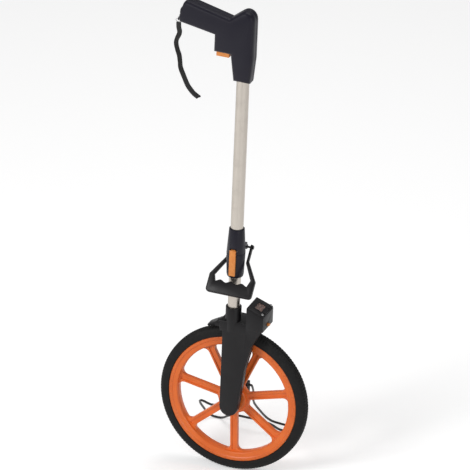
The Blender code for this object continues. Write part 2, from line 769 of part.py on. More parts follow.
def hollow_counter(body, lean, lid_frame):
    """The drums' chamber, with seats for the shaft and the reset lever's pin."""
    low_y = LEG_OUTER_FACE + COUNTER_WALL
    high_y = COUNTER_FAR_FACE - COUNTER_WALL
    chamber = [
        (COUNTER_LEFT + COUNTER_WALL, COUNTER_BOTTOM + COUNTER_WALL),
        (COUNTER_RIGHT - COUNTER_WALL, COUNTER_BOTTOM + COUNTER_WALL),
        (COUNTER_RIGHT - COUNTER_WALL, face_height(COUNTER_RIGHT)),
        (COUNTER_LEFT + COUNTER_WALL, face_height(COUNTER_LEFT)),
    ]
    room = plate("counter_room", [chamber], -high_y, -low_y)
    cut(body, place(room, None, lean, rotation=UPRIGHT))
    shaft = cylinder(
        "shaft_seats",
        COUNTER_SHAFT_RADIUS + CLEARANCE,
        -(high_y + COUNTER_SHAFT_SEAT + CLEARANCE),
        -(low_y - COUNTER_SHAFT_SEAT - CLEARANCE),
        12,
    )
    cut(body, place(shaft, None, lean, (COUNTER_AXIS[0], 0.0, COUNTER_AXIS[1]), UPRIGHT))
    slot_low = (COUNTER_RIGHT - 2.0 * COUNTER_WALL, WINDOW_Y - RESET_ARM_HALF - CLEARANCE,
                RESET_PIVOT[1] - RESET_SLOT[1])
    slot_high = (COUNTER_RIGHT + OVERRUN, WINDOW_Y + RESET_ARM_HALF + CLEARANCE,
                 RESET_PIVOT[1] + RESET_SLOT[0])
    cut(body, place(box("reset_slot", slot_low, slot_high), None, lean))
    post = LID_SCREW_INSET
    far = COUNTER_RIGHT - COUNTER_WALL + CLEARANCE
    for at, (x, y) in enumerate(lid_screw_places(), 1):
        side = y_wall(y)
        bottom = face_height(x) - LID_THICKNESS - 2.0 * LID_SCREW_LENGTH
        boss_low = (x - post, min(side, y - post / 2.0), bottom)
        boss_high = (far, max(side, y + post / 2.0), face_height(far) - LID_THICKNESS - OVERRUN / 2.0)
        join(body, place(box("lid_boss_%d" % at, boss_low, boss_high), None, lean))
        hole = cylinder(
            "lid_screw_hole_%d" % at, SCREW_RADIUS + CLEARANCE, -LID_SCREW_LENGTH, OVERRUN, 12
        )
        along_lid = (x - FACE_POINT[0]) / math.cos(FACE_SLOPE)
        cut(body, place(hole, None, lid_frame, (along_lid, y, 0.0)))


def y_wall(y):
    """Just inside the counter wall that lies nearest to y."""
    if y > WINDOW_Y:
        return COUNTER_FAR_FACE - COUNTER_WALL + 2.0 * CLEARANCE
    return LEG_OUTER_FACE + COUNTER_WALL - 2.0 * CLEARANCE


def lid_screw_places():
    inset = COUNTER_WALL + LID_SCREW_INSET / 2.0
    return [
        (COUNTER_RIGHT - inset, COUNTER_FAR_FACE - inset),
        (COUNTER_RIGHT - inset, LEG_OUTER_FACE + inset),
    ]


def open_crown(body, lean):
    """The bore for the pole, the rod's way down and the brake arm's channel."""
    bore = cylinder(
        "pole_bore", LOWER_TUBE_RADIUS + CLEARANCE, SOCKET_SEAT - CLEARANCE,
        SOCKET_TOP + OVERRUN, 2 * ROUND_STEPS,
    )
    cut(body, place(bore, None, lean, (0.0, POLE_Y, 0.0)))
    rod_way = cylinder("rod_way", ROD_RADIUS + 2.0 * CLEARANCE, ARM_TOP - OVERRUN, SOCKET_TOP)
    cut(body, place(rod_way, None, lean, (0.0, POLE_Y, 0.0)))
    room = ARM_ROOM
    low = (CROWN_LEFT - OVERRUN, POLE_Y - ARM_HALF_WIDTH - room, ARM_BOTTOM - BRAKE_TRAVEL - room)
    high = (ARM_RIGHT + room, POLE_Y + ARM_HALF_WIDTH + room, ARM_TOP + room)
    cut(body, place(box("arm_channel", low, high), None, lean))


def make_leg_cover(lean):
    """The thin inner cover, with a hole for the hub sleeve and four screws."""
    inner_face = LEG_OUTER_FACE + LEG_THICKNESS
    low = inner_face + CLEARANCE
    high = low + LEG_COVER_THICKNESS - CLEARANCE
    sleeve_hole = arc((0.0, 0.0), HUB_SLEEVE_RADIUS + 2.0 * CLEARANCE, 0.0, 2.0 * math.pi, 20)[:-1]
    holes = [sleeve_hole]
    for x, z in LEG_SCREWS:
        holes.append(arc((x, z), SCREW_RADIUS + CLEARANCE, 0.0, 2.0 * math.pi, 12)[:-1])
    top = CROWN_BOTTOM - COVER_INSET
    outline = arc(
        (LEG_LEFT + LEG_FOOT_RADIUS, LEG_FOOT_RADIUS - LEG_FOOT_DROP),
        LEG_FOOT_RADIUS - COVER_INSET, math.pi, 2.0 * math.pi, 10,
    )
    outline.append((LEG_KNEE[0] - COVER_INSET, LEG_KNEE[1]))
    outline.append((LEG_SHOULDER[0] - COVER_INSET, LEG_SHOULDER[1]))
    slope = (COUNTER_RIGHT - LEG_SHOULDER[0]) / (COUNTER_BOTTOM - LEG_SHOULDER[1])
    outline.append((LEG_SHOULDER[0] - 2.0 * COVER_INSET + slope * (top - LEG_SHOULDER[1]), top))
    outline.append((LEG_LEFT + COVER_INSET, top))
    cover = plate("leg_cover", [outline] + holes, -high, -low)
    place(cover, BLACK, lean, rotation=UPRIGHT)
    for at, (x, z) in enumerate(LEG_SCREWS, 1):
        profile = screw_profile(SCREW_RADIUS, SCREW_HEAD_RADIUS, SCREW_HEAD_HEIGHT, SCREW_LENGTH)
        screw = turned("leg_screw_%d" % at, profile, 12)
        place(screw, STEEL, lean, (x, high + CLEARANCE, z), ALONG_AXLE)


def make_axle(lean):
    """The fixed axle with the washer, the stand bracket's nut and the bracket itself."""
    near = axle_near_end()
    washer_low = HUB_HALF_WIDTH + CLEARANCE
    washer_high = washer_low + WASHER_THICKNESS
    bracket_low = washer_high + CLEARANCE
    nut_low = BRACKET_BACK + CLEARANCE
    nut_high = nut_low + NUT_HEIGHT
    end = nut_high + AXLE_HEAD_DEPTH
    axle = cylinder("axle", AXLE_RADIUS, near, end)
    place(axle, STEEL, lean, rotation=ALONG_AXLE)
    hole = AXLE_RADIUS + CLEARANCE
    washer = [(hole, washer_high), (WASHER_RADIUS, washer_high), (WASHER_RADIUS, washer_low),
              (hole, washer_low)]
    place(turned("axle_washer", washer, ring=True), STEEL, lean, rotation=ALONG_AXLE)
    hexagon = arc((0.0, 0.0), NUT_RADIUS, 0.0, 2.0 * math.pi, 6)[:-1]
    ring = arc((0.0, 0.0), hole, 0.0, 2.0 * math.pi, 20)[:-1]
    nut = plate("axle_nut", [hexagon, ring], -nut_high, -nut_low)
    place(nut, STEEL, lean, rotation=UPRIGHT)
    bracket = box(
        "stand_bracket",
        (-BRACKET_HALF_WIDTH, bracket_low, BRACKET_BOTTOM),
        (BRACKET_HALF_WIDTH, BRACKET_BACK, BRACKET_TOP),
        BRACKET_EDGE,
    )
    place(bracket, BLACK, lean)
    axle_bore = cylinder("bracket_bore", hole, -BRACKET_BACK - OVERRUN, -bracket_low + OVERRUN)
    cut(bracket, place(axle_bore, None, lean, rotation=UPRIGHT))
    reach = BRACKET_HALF_WIDTH + OVERRUN
    wire_bore = cylinder("stand_bore", STAND_WIRE_RADIUS + CLEARANCE, -reach, reach, 16)
    pivot = (0.0, STAND_PIVOT[0], STAND_PIVOT[1])
    cut(bracket, place(wire_bore, None, lean, pivot, ALONG_X))


def make_belt(lean):
    outer = belt_room_outline(CLEARANCE + BELT_THICKNESS)
    inner = belt_room_outline(CLEARANCE)
    half = PULLEY_WIDTH / 2.0 - PULLEY_FLANGE - CLEARANCE
    belt = plate("drive_belt", [outer, inner], -half, half)
    place(belt, RUBBER, lean, (0.0, pulley_y(), 0.0), UPRIGHT)


def make_counter_train(lean, shaft_axis):
    """Pulley, shaft and drums, all on the counter's axis."""
    low_y = LEG_OUTER_FACE + COUNTER_WALL - COUNTER_SHAFT_SEAT
    high_y = COUNTER_FAR_FACE - COUNTER_WALL + COUNTER_SHAFT_SEAT
    shaft = cylinder("counter_shaft", COUNTER_SHAFT_RADIUS, -high_y, -low_y, 12)
    place(shaft, STEEL, shaft_axis, rotation=UPRIGHT)
    bore = COUNTER_SHAFT_RADIUS + CLEARANCE
    profile = [(bore, PULLEY_WIDTH)] + pulley_profile(bore, PULLEY_WIDTH)[1:] + [(bore, 0.0)]
    pulley = turned("counter_pulley", profile, ring=True)
    place(pulley, BLACK, shaft_axis, (0.0, pulley_y() + PULLEY_WIDTH / 2.0, 0.0), UPRIGHT)
    drums_start = WINDOW_Y - DRUM_PITCH * (DRUMS - 1) / 2.0
    for at in range(DRUMS):
        half = DRUM_WIDTH / 2.0
        profile = [
            (bore, half),
            (DRUM_RADIUS, half),
            (DRUM_RADIUS, -half),
            (bore, -half),
        ]
        drum = turned("digit_drum_%d" % (at + 1), profile, 20, ring=True)
        place(drum, CREAM, shaft_axis, (0.0, drums_start + at * DRUM_PITCH, 0.0), UPRIGHT)


def make_counter_lid(lid_frame):
    """The sloping lid, its window and two screws."""
    low_u = (COUNTER_LEFT - FACE_POINT[0]) / math.cos(FACE_SLOPE)
    high_u = (COUNTER_RIGHT - FACE_POINT[0]) / math.cos(FACE_SLOPE)
    outline = rectangle(
        (low_u + LID_INSET, LEG_OUTER_FACE + LID_INSET),
        (high_u - LID_INSET, COUNTER_FAR_FACE - LID_INSET),
    )
    across = WINDOW_ACROSS / 2.0 + CLEARANCE
    along = WINDOW_ALONG / 2.0 + CLEARANCE
    hole = rectangle((-across, WINDOW_Y - along), (across, WINDOW_Y + along))
    bottom = CLEARANCE - LID_THICKNESS * math.cos(FACE_SLOPE)
    lid = plate("counter_lid", [outline, hole], bottom, 0.0)
    place(lid, BLACK, lid_frame)
    frame_out = rectangle(
        (-across - WINDOW_FRAME, WINDOW_Y - along - WINDOW_FRAME),
        (across + WINDOW_FRAME, WINDOW_Y + along + WINDOW_FRAME),
    )
    bezel = plate("window_frame", [frame_out, hole], bottom / 2.0, WINDOW_FRAME_RISE)
    join(lid, place(bezel, None, lid_frame))
    for at, side in enumerate((-1.0, 1.0), 1):
        y = WINDOW_Y + side * WINDOW_ALONG / 2.0
        ear = box(
            "lid_ear_%d" % at,
            (high_u - 2.0 * LID_EAR, y - LID_EAR / 2.0, bottom / 2.0),
            (high_u - LID_INSET - CLEARANCE, y + LID_EAR / 2.0, LID_EAR / 2.0),
        )
        join(lid, place(ear, None, lid_frame))
    pane = box(
        "counter_window",
        (CLEARANCE - across, WINDOW_Y - along + CLEARANCE, bottom),
        (across - CLEARANCE, WINDOW_Y + along - CLEARANCE, bottom + WINDOW_THICKNESS),
    )
    place(pane, SMOKED, lid_frame)
    for at, (x, y) in enumerate(lid_screw_places(), 1):
        u = (x - FACE_POINT[0]) / math.cos(FACE_SLOPE)
        hole = cylinder("lid_hole_%d" % at, SCREW_RADIUS + CLEARANCE, -OVERRUN * 2.0, OVERRUN, 12)
        cut(lid, place(hole, None, lid_frame, (u, y, 0.0)))
        profile = screw_profile(
            SCREW_RADIUS, SCREW_HEAD_RADIUS - CLEARANCE, SCREW_HEAD_HEIGHT, LID_SCREW_LENGTH
        )
        screw = turned("lid_screw_%d" % at, profile, 12)
        place(screw, STEEL, lid_frame, (u, y, WINDOW_FRAME_RISE + CLEARANCE))


def make_reset_lever(reset_axis):
    """A short lever that leaves the counter through a slot in its front wall."""
    reach = COUNTER_RIGHT - RESET_PIVOT[0] + RESET_TIP
    half = RESET_ARM_THICKNESS / 2.0
    outline = arc((0.0, 0.0), half * 1.6, math.radians(40.0), math.radians(320.0), 10)
    outline += [(reach, -half), (reach, half)]
    ring = arc((0.0, 0.0), RESET_PIN_RADIUS + CLEARANCE, 0.0, 2.0 * math.pi, 12)[:-1]
    lever = plate("reset_lever", [outline, ring], -RESET_ARM_HALF, RESET_ARM_HALF)
    place(lever, PALE_ORANGE, reset_axis, rotation=UPRIGHT)


def make_reset_pin(lean):
    """The reset lever's pin, held in two lugs that stand on the counter's floor."""
    reach = RESET_ARM_HALF + 2.0 * RESET_ARM_THICKNESS / 3.0
    pin = cylinder("reset_pin", RESET_PIN_RADIUS, -reach, reach, 12)
    place(pin, STEEL, lean, (RESET_PIVOT[0], WINDOW_Y, RESET_PIVOT[1]), UPRIGHT)
    body = bpy.data.objects["fork_leg"]
    for side in (-1.0, 1.0):
        near = WINDOW_Y + side * (RESET_ARM_HALF + CLEARANCE)
        far = WINDOW_Y + side * (reach + RESET_ARM_THICKNESS / 4.0)
        width = RESET_PIN_RADIUS * 2.0
        low = (RESET_PIVOT[0] - width, min(near, far), COUNTER_BOTTOM + COUNTER_WALL / 2.0)
        high = (COUNTER_RIGHT - COUNTER_WALL / 2.0, max(near, far), RESET_PIVOT[1] + width)
        lug = box("reset_lug_%d" % (2 + side), low, high)
        join(body, place(lug, None, lean))
    hole = cylinder("reset_hole", RESET_PIN_RADIUS + CLEARANCE, -reach - CLEARANCE,
                    reach + CLEARANCE, 12)
    cut(body, place(hole, None, lean, (RESET_PIVOT[0], WINDOW_Y, RESET_PIVOT[1]), UPRIGHT))


def make_brake(brake):
    """Rod, shoe and rubber pad, which slide down together."""
    rod = cylinder("lower_rod", ROD_RADIUS, ARM_TOP + CLEARANCE, SPLIT - CLEARANCE, 12)
    place(rod, STEEL, brake, (0.0, POLE_Y, 0.0))
    pad_top = TYRE_RADIUS + PAD_GAP + PAD_THICKNESS + CLEARANCE
    left = math.acos(SHOE_LEFT / pad_top)
    right = math.acos(SHOE_RIGHT / pad_top)
    under = arc((0.0, 0.0), pad_top, left, right, 8)
    shoe = plate(
        "brake_shoe", [under + [SHOE_TOP, SHOE_HEEL]], -SHOE_HALF_WIDTH, SHOE_HALF_WIDTH
    )
    place(shoe, BLACK, brake, rotation=UPRIGHT)
    arm = box(
        "brake_arm",
        (SHOE_RIGHT - 2.0 * ARM_HALF_WIDTH, POLE_Y - ARM_HALF_WIDTH, ARM_BOTTOM),
        (ARM_RIGHT, POLE_Y + ARM_HALF_WIDTH, ARM_TOP),
    )
    join(shoe, place(arm, None, brake))
    bridge = box(
        "brake_bridge",
        (SHOE_RIGHT - 2.0 * ARM_HALF_WIDTH, POLE_Y, ARM_BOTTOM),
        (SHOE_RIGHT - CLEARANCE, OVERRUN - SHOE_HALF_WIDTH, ARM_TOP - CLEARANCE),
    )
    join(shoe, place(bridge, None, brake))
    outer = arc((0.0, 0.0), pad_top - CLEARANCE, left, right, 8)
    inner = arc((0.0, 0.0), TYRE_RADIUS + PAD_GAP, right, left, 8)
    pad = plate(
        "brake_pad", [outer + inner], PAD_TRIM - SHOE_HALF_WIDTH, SHOE_HALF_WIDTH - PAD_TRIM
    )
    place(pad, RUBBER, brake, rotation=UPRIGHT)


def tube_profile(radius, low, high):
    return [
        (radius - TUBE_WALL, high),
        (radius, high),
        (radius, low),
        (radius - TUBE_WALL, low),
    ]


def make_lower_pole(lean):
    """Lower tube and the lower half of the folding joint, with its middle lug."""
    tube = turned(
        "lower_tube", tube_profile(LOWER_TUBE_RADIUS, SOCKET_SEAT, LOWER_TUBE_TOP),
        2 * ROUND_STEPS, ring=True,
    )
    place(tube, ALUMINIUM, lean, (0.0, POLE_Y, 0.0))
    top = SPLIT - CLEARANCE
    shoulder, shoulder_rise = LOWER_JOINT_SHOULDER
    profile = [
        (0.0, top),
        (JOINT_RADIUS, top),
        (shoulder, LOWER_JOINT_BOTTOM + shoulder_rise),
        (LOWER_JOINT_FOOT_RADIUS, LOWER_JOINT_BOTTOM),
        (0.0, LOWER_JOINT_BOTTOM),
    ]
    joint = turned("lower_joint", profile, 2 * ROUND_STEPS)
    place(joint, NAVY, lean, (0.0, POLE_Y, 0.0))
    web_low = (-LUG_HALF_WIDTH, POLE_Y, SPLIT - 2.0 * LUG_RADIUS)
    web_high = (LUG_HALF_WIDTH, HINGE_Y, top)
    join(joint, place(box("lower_web", web_low, web_high), None, lean))
    hinge = (0.0, HINGE_Y, SPLIT)
    knuckle = cylinder("lower_knuckle", LUG_RADIUS, -LUG_HALF_WIDTH, LUG_HALF_WIDTH)
    join(joint, place(knuckle, None, lean, hinge, ALONG_X))
    bore = cylinder(
        "lower_tube_bore", LOWER_TUBE_RADIUS + CLEARANCE, LOWER_JOINT_BOTTOM - OVERRUN,
        LOWER_TUBE_TOP + CLEARANCE, 2 * ROUND_STEPS,
    )
    cut(joint, place(bore, None, lean, (0.0, POLE_Y, 0.0)))
    rod_bore = cylinder(
        "lower_rod_bore", ROD_RADIUS + CLEARANCE, LOWER_TUBE_TOP - OVERRUN, SPLIT + OVERRUN, 16
    )
    cut(joint, place(rod_bore, None, lean, (0.0, POLE_Y, 0.0)))
    reach = LUG_HALF_WIDTH + OVERRUN
    pin_bore = cylinder("lower_pin_bore", HINGE_PIN_RADIUS + CLEARANCE, -reach, reach, 16)
    cut(joint, place(pin_bore, None, lean, hinge, ALONG_X))
    low = (-LATCH_HALF_WIDTH - CLEARANCE, LATCH_FACE - OVERRUN, LATCH_BOTTOM - 2.0 * CLEARANCE)
    high = (LATCH_HALF_WIDTH + CLEARANCE, LATCH_BACK + CLEARANCE, SPLIT + OVERRUN)
    cut(joint, place(box("latch_recess", low, high), None, lean))


def make_hinge_pin(lean):
    """The pin through the joint's lugs and the carry handle's eyes."""
    reach = BAIL_OUTER + CLEARANCE
    profile = [
        (0.0, reach + HINGE_PIN_HEAD_LENGTH),
        (HINGE_PIN_HEAD, reach + HINGE_PIN_HEAD_LENGTH),
        (HINGE_PIN_HEAD, reach),
        (HINGE_PIN_RADIUS, reach),
        (HINGE_PIN_RADIUS, -reach),
        (HINGE_PIN_HEAD, -reach),
        (HINGE_PIN_HEAD, -reach - HINGE_PIN_HEAD_LENGTH),
        (0.0, -reach - HINGE_PIN_HEAD_LENGTH),
    ]
    pin = turned("hinge_pin", profile, 16)
    place(pin, DARK_STEEL, lean, (0.0, HINGE_Y, SPLIT), ALONG_X)


def make_upper_pole(pole):
    """Upper half of the joint with two lugs, and the upper tube."""
    bottom = SPLIT + CLEARANCE
    profile = [
        (0.0, UPPER_JOINT_TOP),
        (UPPER_JOINT_TOP_RADIUS - JOINT_EDGE, UPPER_JOINT_TOP),
        (UPPER_JOINT_TOP_RADIUS, UPPER_JOINT_TOP - JOINT_EDGE),
        (JOINT_RADIUS, bottom),
        (0.0, bottom),
    ]
    joint = turned("upper_joint", profile, 2 * ROUND_STEPS)
    centre = (0.0, POLE_Y, 0.0)
    place(joint, NAVY, pole, body_place(centre))
    hinge = body_place((0.0, HINGE_Y, SPLIT))
    inner = LUG_HALF_WIDTH + CLEARANCE
    outer = inner + OUTER_LUG_WIDTH
    for side in (-1.0, 1.0):
        low_x, high_x = sorted((side * inner, side * outer))
        web = box(
            "upper_web_%d" % (2 + side),
            (low_x, POLE_Y, bottom),
            (high_x, HINGE_Y, SPLIT + 2.0 * LUG_RADIUS),
        )
        join(joint, place(web, None, pole, body_place((0.0, 0.0, 0.0))))
        knuckle = cylinder("upper_knuckle_%d" % (2 + side), LUG_RADIUS, low_x, high_x)
        join(joint, place(knuckle, None, pole, hinge, ALONG_X))
    bore = cylinder(
        "upper_tube_bore", UPPER_TUBE_RADIUS + CLEARANCE, UPPER_TUBE_BOTTOM - CLEARANCE,
        UPPER_JOINT_TOP + OVERRUN, 2 * ROUND_STEPS,
    )
    cut(joint, place(bore, None, pole, body_place(centre)))
    rod_bore = cylinder(
        "upper_rod_bore", ROD_RADIUS + CLEARANCE, SPLIT - OVERRUN, UPPER_TUBE_BOTTOM + OVERRUN, 16
    )
    cut(joint, place(rod_bore, None, pole, body_place(centre)))
    reach = outer + OVERRUN
    pin_bore = cylinder("upper_pin_bore", HINGE_PIN_RADIUS + CLEARANCE, -reach, reach, 16)
    cut(joint, place(pin_bore, None, pole, hinge, ALONG_X))
    low = (-LATCH_HALF_WIDTH - CLEARANCE, LATCH_FACE - OVERRUN, SPLIT - OVERRUN)
    top = LATCH_TOP + LATCH_SWING_ROOM
    high = (LATCH_HALF_WIDTH + CLEARANCE, LATCH_BACK + CLEARANCE, top)
    cut(joint, place(box("latch_slot", low, high), None, pole, body_place((0.0, 0.0, 0.0))))
    ear = LATCH_EAR_RADIUS + 2.0 * CLEARANCE
    low = (-LATCH_HALF_WIDTH - CLEARANCE, LATCH_FACE, LATCH_PIVOT[1] - ear)
    high = (LATCH_HALF_WIDTH + CLEARANCE, LATCH_PIVOT[0] + ear, top)
    cut(joint, place(box("ear_slot", low, high), None, pole, body_place((0.0, 0.0, 0.0))))
    half = LATCH_PIN_HALF + CLEARANCE
    ear_pin = cylinder("latch_pin_bore", LATCH_PIN_RADIUS + CLEARANCE, -half, half, 12)
    latch_at = body_place((0.0, LATCH_PIVOT[0], LATCH_PIVOT[1]))
    cut(joint, place(ear_pin, None, pole, latch_at, ALONG_X))
    pin = cylinder("latch_pin", LATCH_PIN_RADIUS, -LATCH_PIN_HALF, LATCH_PIN_HALF, 12)
    place(pin, STEEL, pole, latch_at, ALONG_X)
    tube = turned(
        "upper_tube", tube_profile(UPPER_TUBE_RADIUS, UPPER_TUBE_BOTTOM, GRIP_TUBE_TOP),
        2 * ROUND_STEPS, ring=True,
    )
    place(tube, ALUMINIUM, pole, body_place(centre))


def body_place(point):
    """A place under the leaning empty, given from the fold's hinge instead."""
    return (point[0], point[1] - HINGE_Y, point[2] - SPLIT)


def make_latch(latch_axis):
    """The orange lever, with a round ear that turns on the latch pin."""
    pivot_y, pivot_z = LATCH_PIVOT
    lever = box(
        "latch_lever",
        (-LATCH_HALF_WIDTH, LATCH_FACE - pivot_y, LATCH_BOTTOM - pivot_z),
        (LATCH_HALF_WIDTH, LATCH_BACK - pivot_y, LATCH_TOP - pivot_z),
        LATCH_EDGE,
    )
    place(lever, PALE_ORANGE, latch_axis)
    ear = cylinder("latch_ear", LATCH_EAR_RADIUS, -LATCH_EAR_HALF, LATCH_EAR_HALF, 16)
    join(lever, place(ear, None, latch_axis, rotation=ALONG_X))
    hole = LATCH_PIN_RADIUS + CLEARANCE
    reach = LATCH_EAR_HALF + LATCH_HALF_WIDTH
    bore = cylinder("latch_bore", hole, -reach, reach, 12)
    cut(lever, place(bore, None, latch_axis, rotation=ALONG_X))


def bail_outline():
    """Half of the carry handle, mirrored: arms, elbows and a bar with finger bumps."""
    half = [(BAIL_OUTER, -BAIL_EYE_RADIUS), (BAIL_OUTER, BAIL_NECK), BAIL_ELBOW_OUTER]
    corner = (BAIL_ELBOW_OUTER[0] - BAIL_CORNER, BAIL_BAR_BOTTOM - BAIL_CORNER)
    half += arc(corner, BAIL_CORNER, 0.0, math.pi / 2.0, 4)
    left = [(-x, y) for x, y in reversed(half)]
    steps = 24
    top = []
    for at in range(steps + 1):
        u = FINGER_SPAN * (2.0 * at / steps - 1.0)
        rise = FINGER_RISE * math.cos(2.0 * math.pi * u / FINGER_PITCH + math.pi)
        top.append((u, BAIL_BAR_TOP + rise))
    elbow_x, elbow_y = BAIL_ELBOW_INNER
    inner_left = [(-BAIL_INNER, -BAIL_EYE_RADIUS), (-BAIL_INNER, BAIL_NECK + BAIL_EYE_RADIUS),
                  (-elbow_x, elbow_y)]
    inner_right = [(-x, y) for x, y in reversed(inner_left)]
    return half + left + inner_left + top + inner_right


def make_carry_handle(bail_axis):
    half = BAIL_THICKNESS / 2.0
    bail = plate("carry_handle", [bail_outline()], -half, half, BAIL_EDGE)
    place(bail, BLACK, bail_axis, rotation=bail_turn())
    reach = BAIL_OUTER + OVERRUN
    bore = cylinder("bail_bore", HINGE_PIN_RADIUS + CLEARANCE, -reach, reach, 16)
    cut(bail, place(bore, None, bail_axis, rotation=ALONG_X))


def bail_turn():
    """Turns the drawing plane so that s runs down and towards the near side."""
    return (BAIL_ANGLE - math.pi, 0.0, 0.0)


def grip_outline():
    """The grip seen from the side, from the foot of the neck round by the trigger box."""
    points = [
        (GRIP_NECK_LEFT, GRIP_NECK_BOTTOM),
        (GRIP_NECK_RIGHT, GRIP_NECK_BOTTOM),
        (GRIP_HEAD_RIGHT, GRIP_NECK_TOP),
    ]
    head_centre = (GRIP_HEAD_RIGHT / 5.0, GRIP_HEAD_SHOULDER)
    reach_x = GRIP_HEAD_RIGHT - head_centre[0]
    reach_z = GRIP_HEAD_TOP - GRIP_HEAD_SHOULDER
    for x, z in arc((0.0, 0.0), 1.0, 0.0, math.radians(125.0), 8):
        points.append((head_centre[0] + reach_x * x, head_centre[1] + reach_z * z))
    points.append(GRIP_NOTCH)
    rear_top = Vector(GRIP_REAR_TOP)
    rear_foot = Vector(GRIP_UNDER_REAR)
    back = rear_foot - rear_top
    outward = Vector((back.y, -back.x)).normalized()
    points.append(GRIP_REAR_TOP)
    lobes, per_lobe = 3, 4
    for at in range(1, lobes * per_lobe):
        share = at / (lobes * per_lobe)
        bow = 4.0 * share * (1.0 - share)
        bump = abs(math.sin(math.pi * lobes * share))
        out = GRIP_REAR_BULGE * (bump / 2.0 + 2.0 * bow)
        spot = rear_top + back * share + outward * out
        points.append((spot.x, spot.y))
    points.append(GRIP_UNDER_REAR)
    points += [
        GRIP_UNDER_FRONT,
        (TRIGGER_BOX_LEFT, TRIGGER_BOX_BOTTOM),
        (GRIP_NECK_TOP_LEFT, TRIGGER_BOX_BOTTOM),
        (GRIP_NECK_TOP_LEFT, GRIP_NECK_TOP),
    ]
    return points


def make_grip(pole):
    """Two grip shells, split along the pole's middle plane, and their screws."""
    at_body = body_place((0.0, POLE_Y, 0.0))
    far_side = GRIP_HALF_THICKNESS
    near = plate("grip_near", [grip_outline()], CLEARANCE / 2.0, far_side)
    place(near, NAVY, pole, at_body, UPRIGHT)
    far = plate("grip_far", [grip_outline()], -far_side, -CLEARANCE / 2.0)
    place(far, NAVY, pole, at_body, UPRIGHT)
    for shell, height, name in ((near, far_side, "near"), (far, -far_side, "far")):
        round_shell(shell, height)
        hollow_shell(shell, pole, name)
    bar = strap_bar_height()
    hole = RING_WIRE_RADIUS + CLEARANCE
    above = bar + hole + CLEARANCE
    stalk = box(
        "strap_stalk",
        (RING_CENTRE[0] - LUG_HALF, CLEARANCE / 2.0, above),
        (GRIP_UNDER_REAR[0] + 2.0 * STRAP_LUG, STRAP_LUG, above + STRAP_LUG),
    )
    join(far, place(stalk, None, pole, at_body))
    eye = box(
        "strap_eye",
        (RING_CENTRE[0] - LUG_HALF, hole / 2.0 - STRAP_LUG, bar - STRAP_LUG),
        (RING_CENTRE[0] + LUG_HALF, STRAP_LUG - hole / 2.0, above + STRAP_LUG / 2.0),
    )
    join(far, place(eye, None, pole, at_body))
    bore = cylinder("strap_bore", hole, -STRAP_LUG, STRAP_LUG, 12)
    cut(far, place(bore, None, pole, body_place((RING_CENTRE[0], POLE_Y, bar)), ALONG_X))


def strap_bar_height():
    """The ring's upper bar passes here."""
    return RING_CENTRE[1] + RING_HALF_HEIGHT


def round_shell(shell, height):
    """Round the rim of one face of a shell."""
    bm = bmesh.new()
    bm.from_mesh(shell.data)
    rims = [line for line in bm.edges if all(abs(v.co.z - height) < MERGE for v in line.verts)]
    bmesh.ops.bevel(bm, geom=rims, offset=GRIP_EDGE, segments=3, profile=0.5, affect="EDGES")
    bm.to_mesh(shell.data)
    bm.free()


def hollow_shell(shell, pole, side):
    """Tube bore, trigger pocket, pin seat and screw holes in one shell."""
    centre = body_place((0.0, POLE_Y, 0.0))
    bore = cylinder(
        "grip_bore_" + side, UPPER_TUBE_RADIUS + CLEARANCE, GRIP_NECK_BOTTOM - OVERRUN,
        GRIP_TUBE_TOP + CLEARANCE, 2 * ROUND_STEPS,
    )
    cut(shell, place(bore, None, pole, centre))
    way = cylinder(
        "rod_way_" + side, ROD_RADIUS + 2.0 * CLEARANCE, GRIP_TUBE_TOP - OVERRUN,
        TRIGGER_ARM_BOTTOM, 16,
    )
    cut(shell, place(way, None, pole, centre))
    half = TRIGGER_HALF_WIDTH + CLEARANCE
    pad_low = (TRIGGER_POCKET_LEFT, -half, TRIGGER_BOTTOM - OVERRUN)
    pad_high = (TRIGGER_RIGHT + 2.0 * TRIGGER_EDGE, half, TRIGGER_POCKET_TOP)
    cut(shell, place(box("pad_pocket_" + side, pad_low, pad_high), None, pole, centre))
    arm_low = (TRIGGER_RIGHT, -half, TRIGGER_ARM_BOTTOM - BRAKE_TRAVEL - CLEARANCE)
    arm_high = (TRIGGER_POCKET_RIGHT, half, TRIGGER_POCKET_TOP)
    cut(shell, place(box("arm_pocket_" + side, arm_low, arm_high), None, pole, centre))
    reach = trigger_pin_half() + CLEARANCE
    pin = cylinder("pin_seat_" + side, TRIGGER_PIN_RADIUS + CLEARANCE, -reach, reach, 12)
    spot = body_place((TRIGGER_PIVOT[0], POLE_Y, TRIGGER_PIVOT[1]))
    cut(shell, place(pin, None, pole, spot, UPRIGHT))
    for at, (x, z) in enumerate(GRIP_SCREWS, 1):
        spot = body_place((x, POLE_Y, z))
        depth = grip_screw_length() - GRIP_HALF_THICKNESS + SCREW_HEAD_HEIGHT + 2.0 * CLEARANCE
        hole = cylinder(
            "grip_hole_%s_%d" % (side, at), SCREW_RADIUS + CLEARANCE,
            -GRIP_HALF_THICKNESS - OVERRUN, depth, 12,
        )
        cut(shell, place(hole, None, pole, spot, UPRIGHT))
        if side == "far":
            seat = GRIP_HALF_THICKNESS - SCREW_HEAD_HEIGHT - CLEARANCE
            sink = cylinder(
                "grip_sink_%d" % at, SCREW_HEAD_RADIUS + CLEARANCE,
                -GRIP_HALF_THICKNESS - OVERRUN, -seat, 12,
            )
            cut(shell, place(sink, None, pole, spot, UPRIGHT))


def grip_screw_length():
    return GRIP_HALF_THICKNESS + SCREW_LENGTH


def trigger_pin_half():
    return TRIGGER_HALF_WIDTH + 2.0 * TRIGGER_PIN_RADIUS


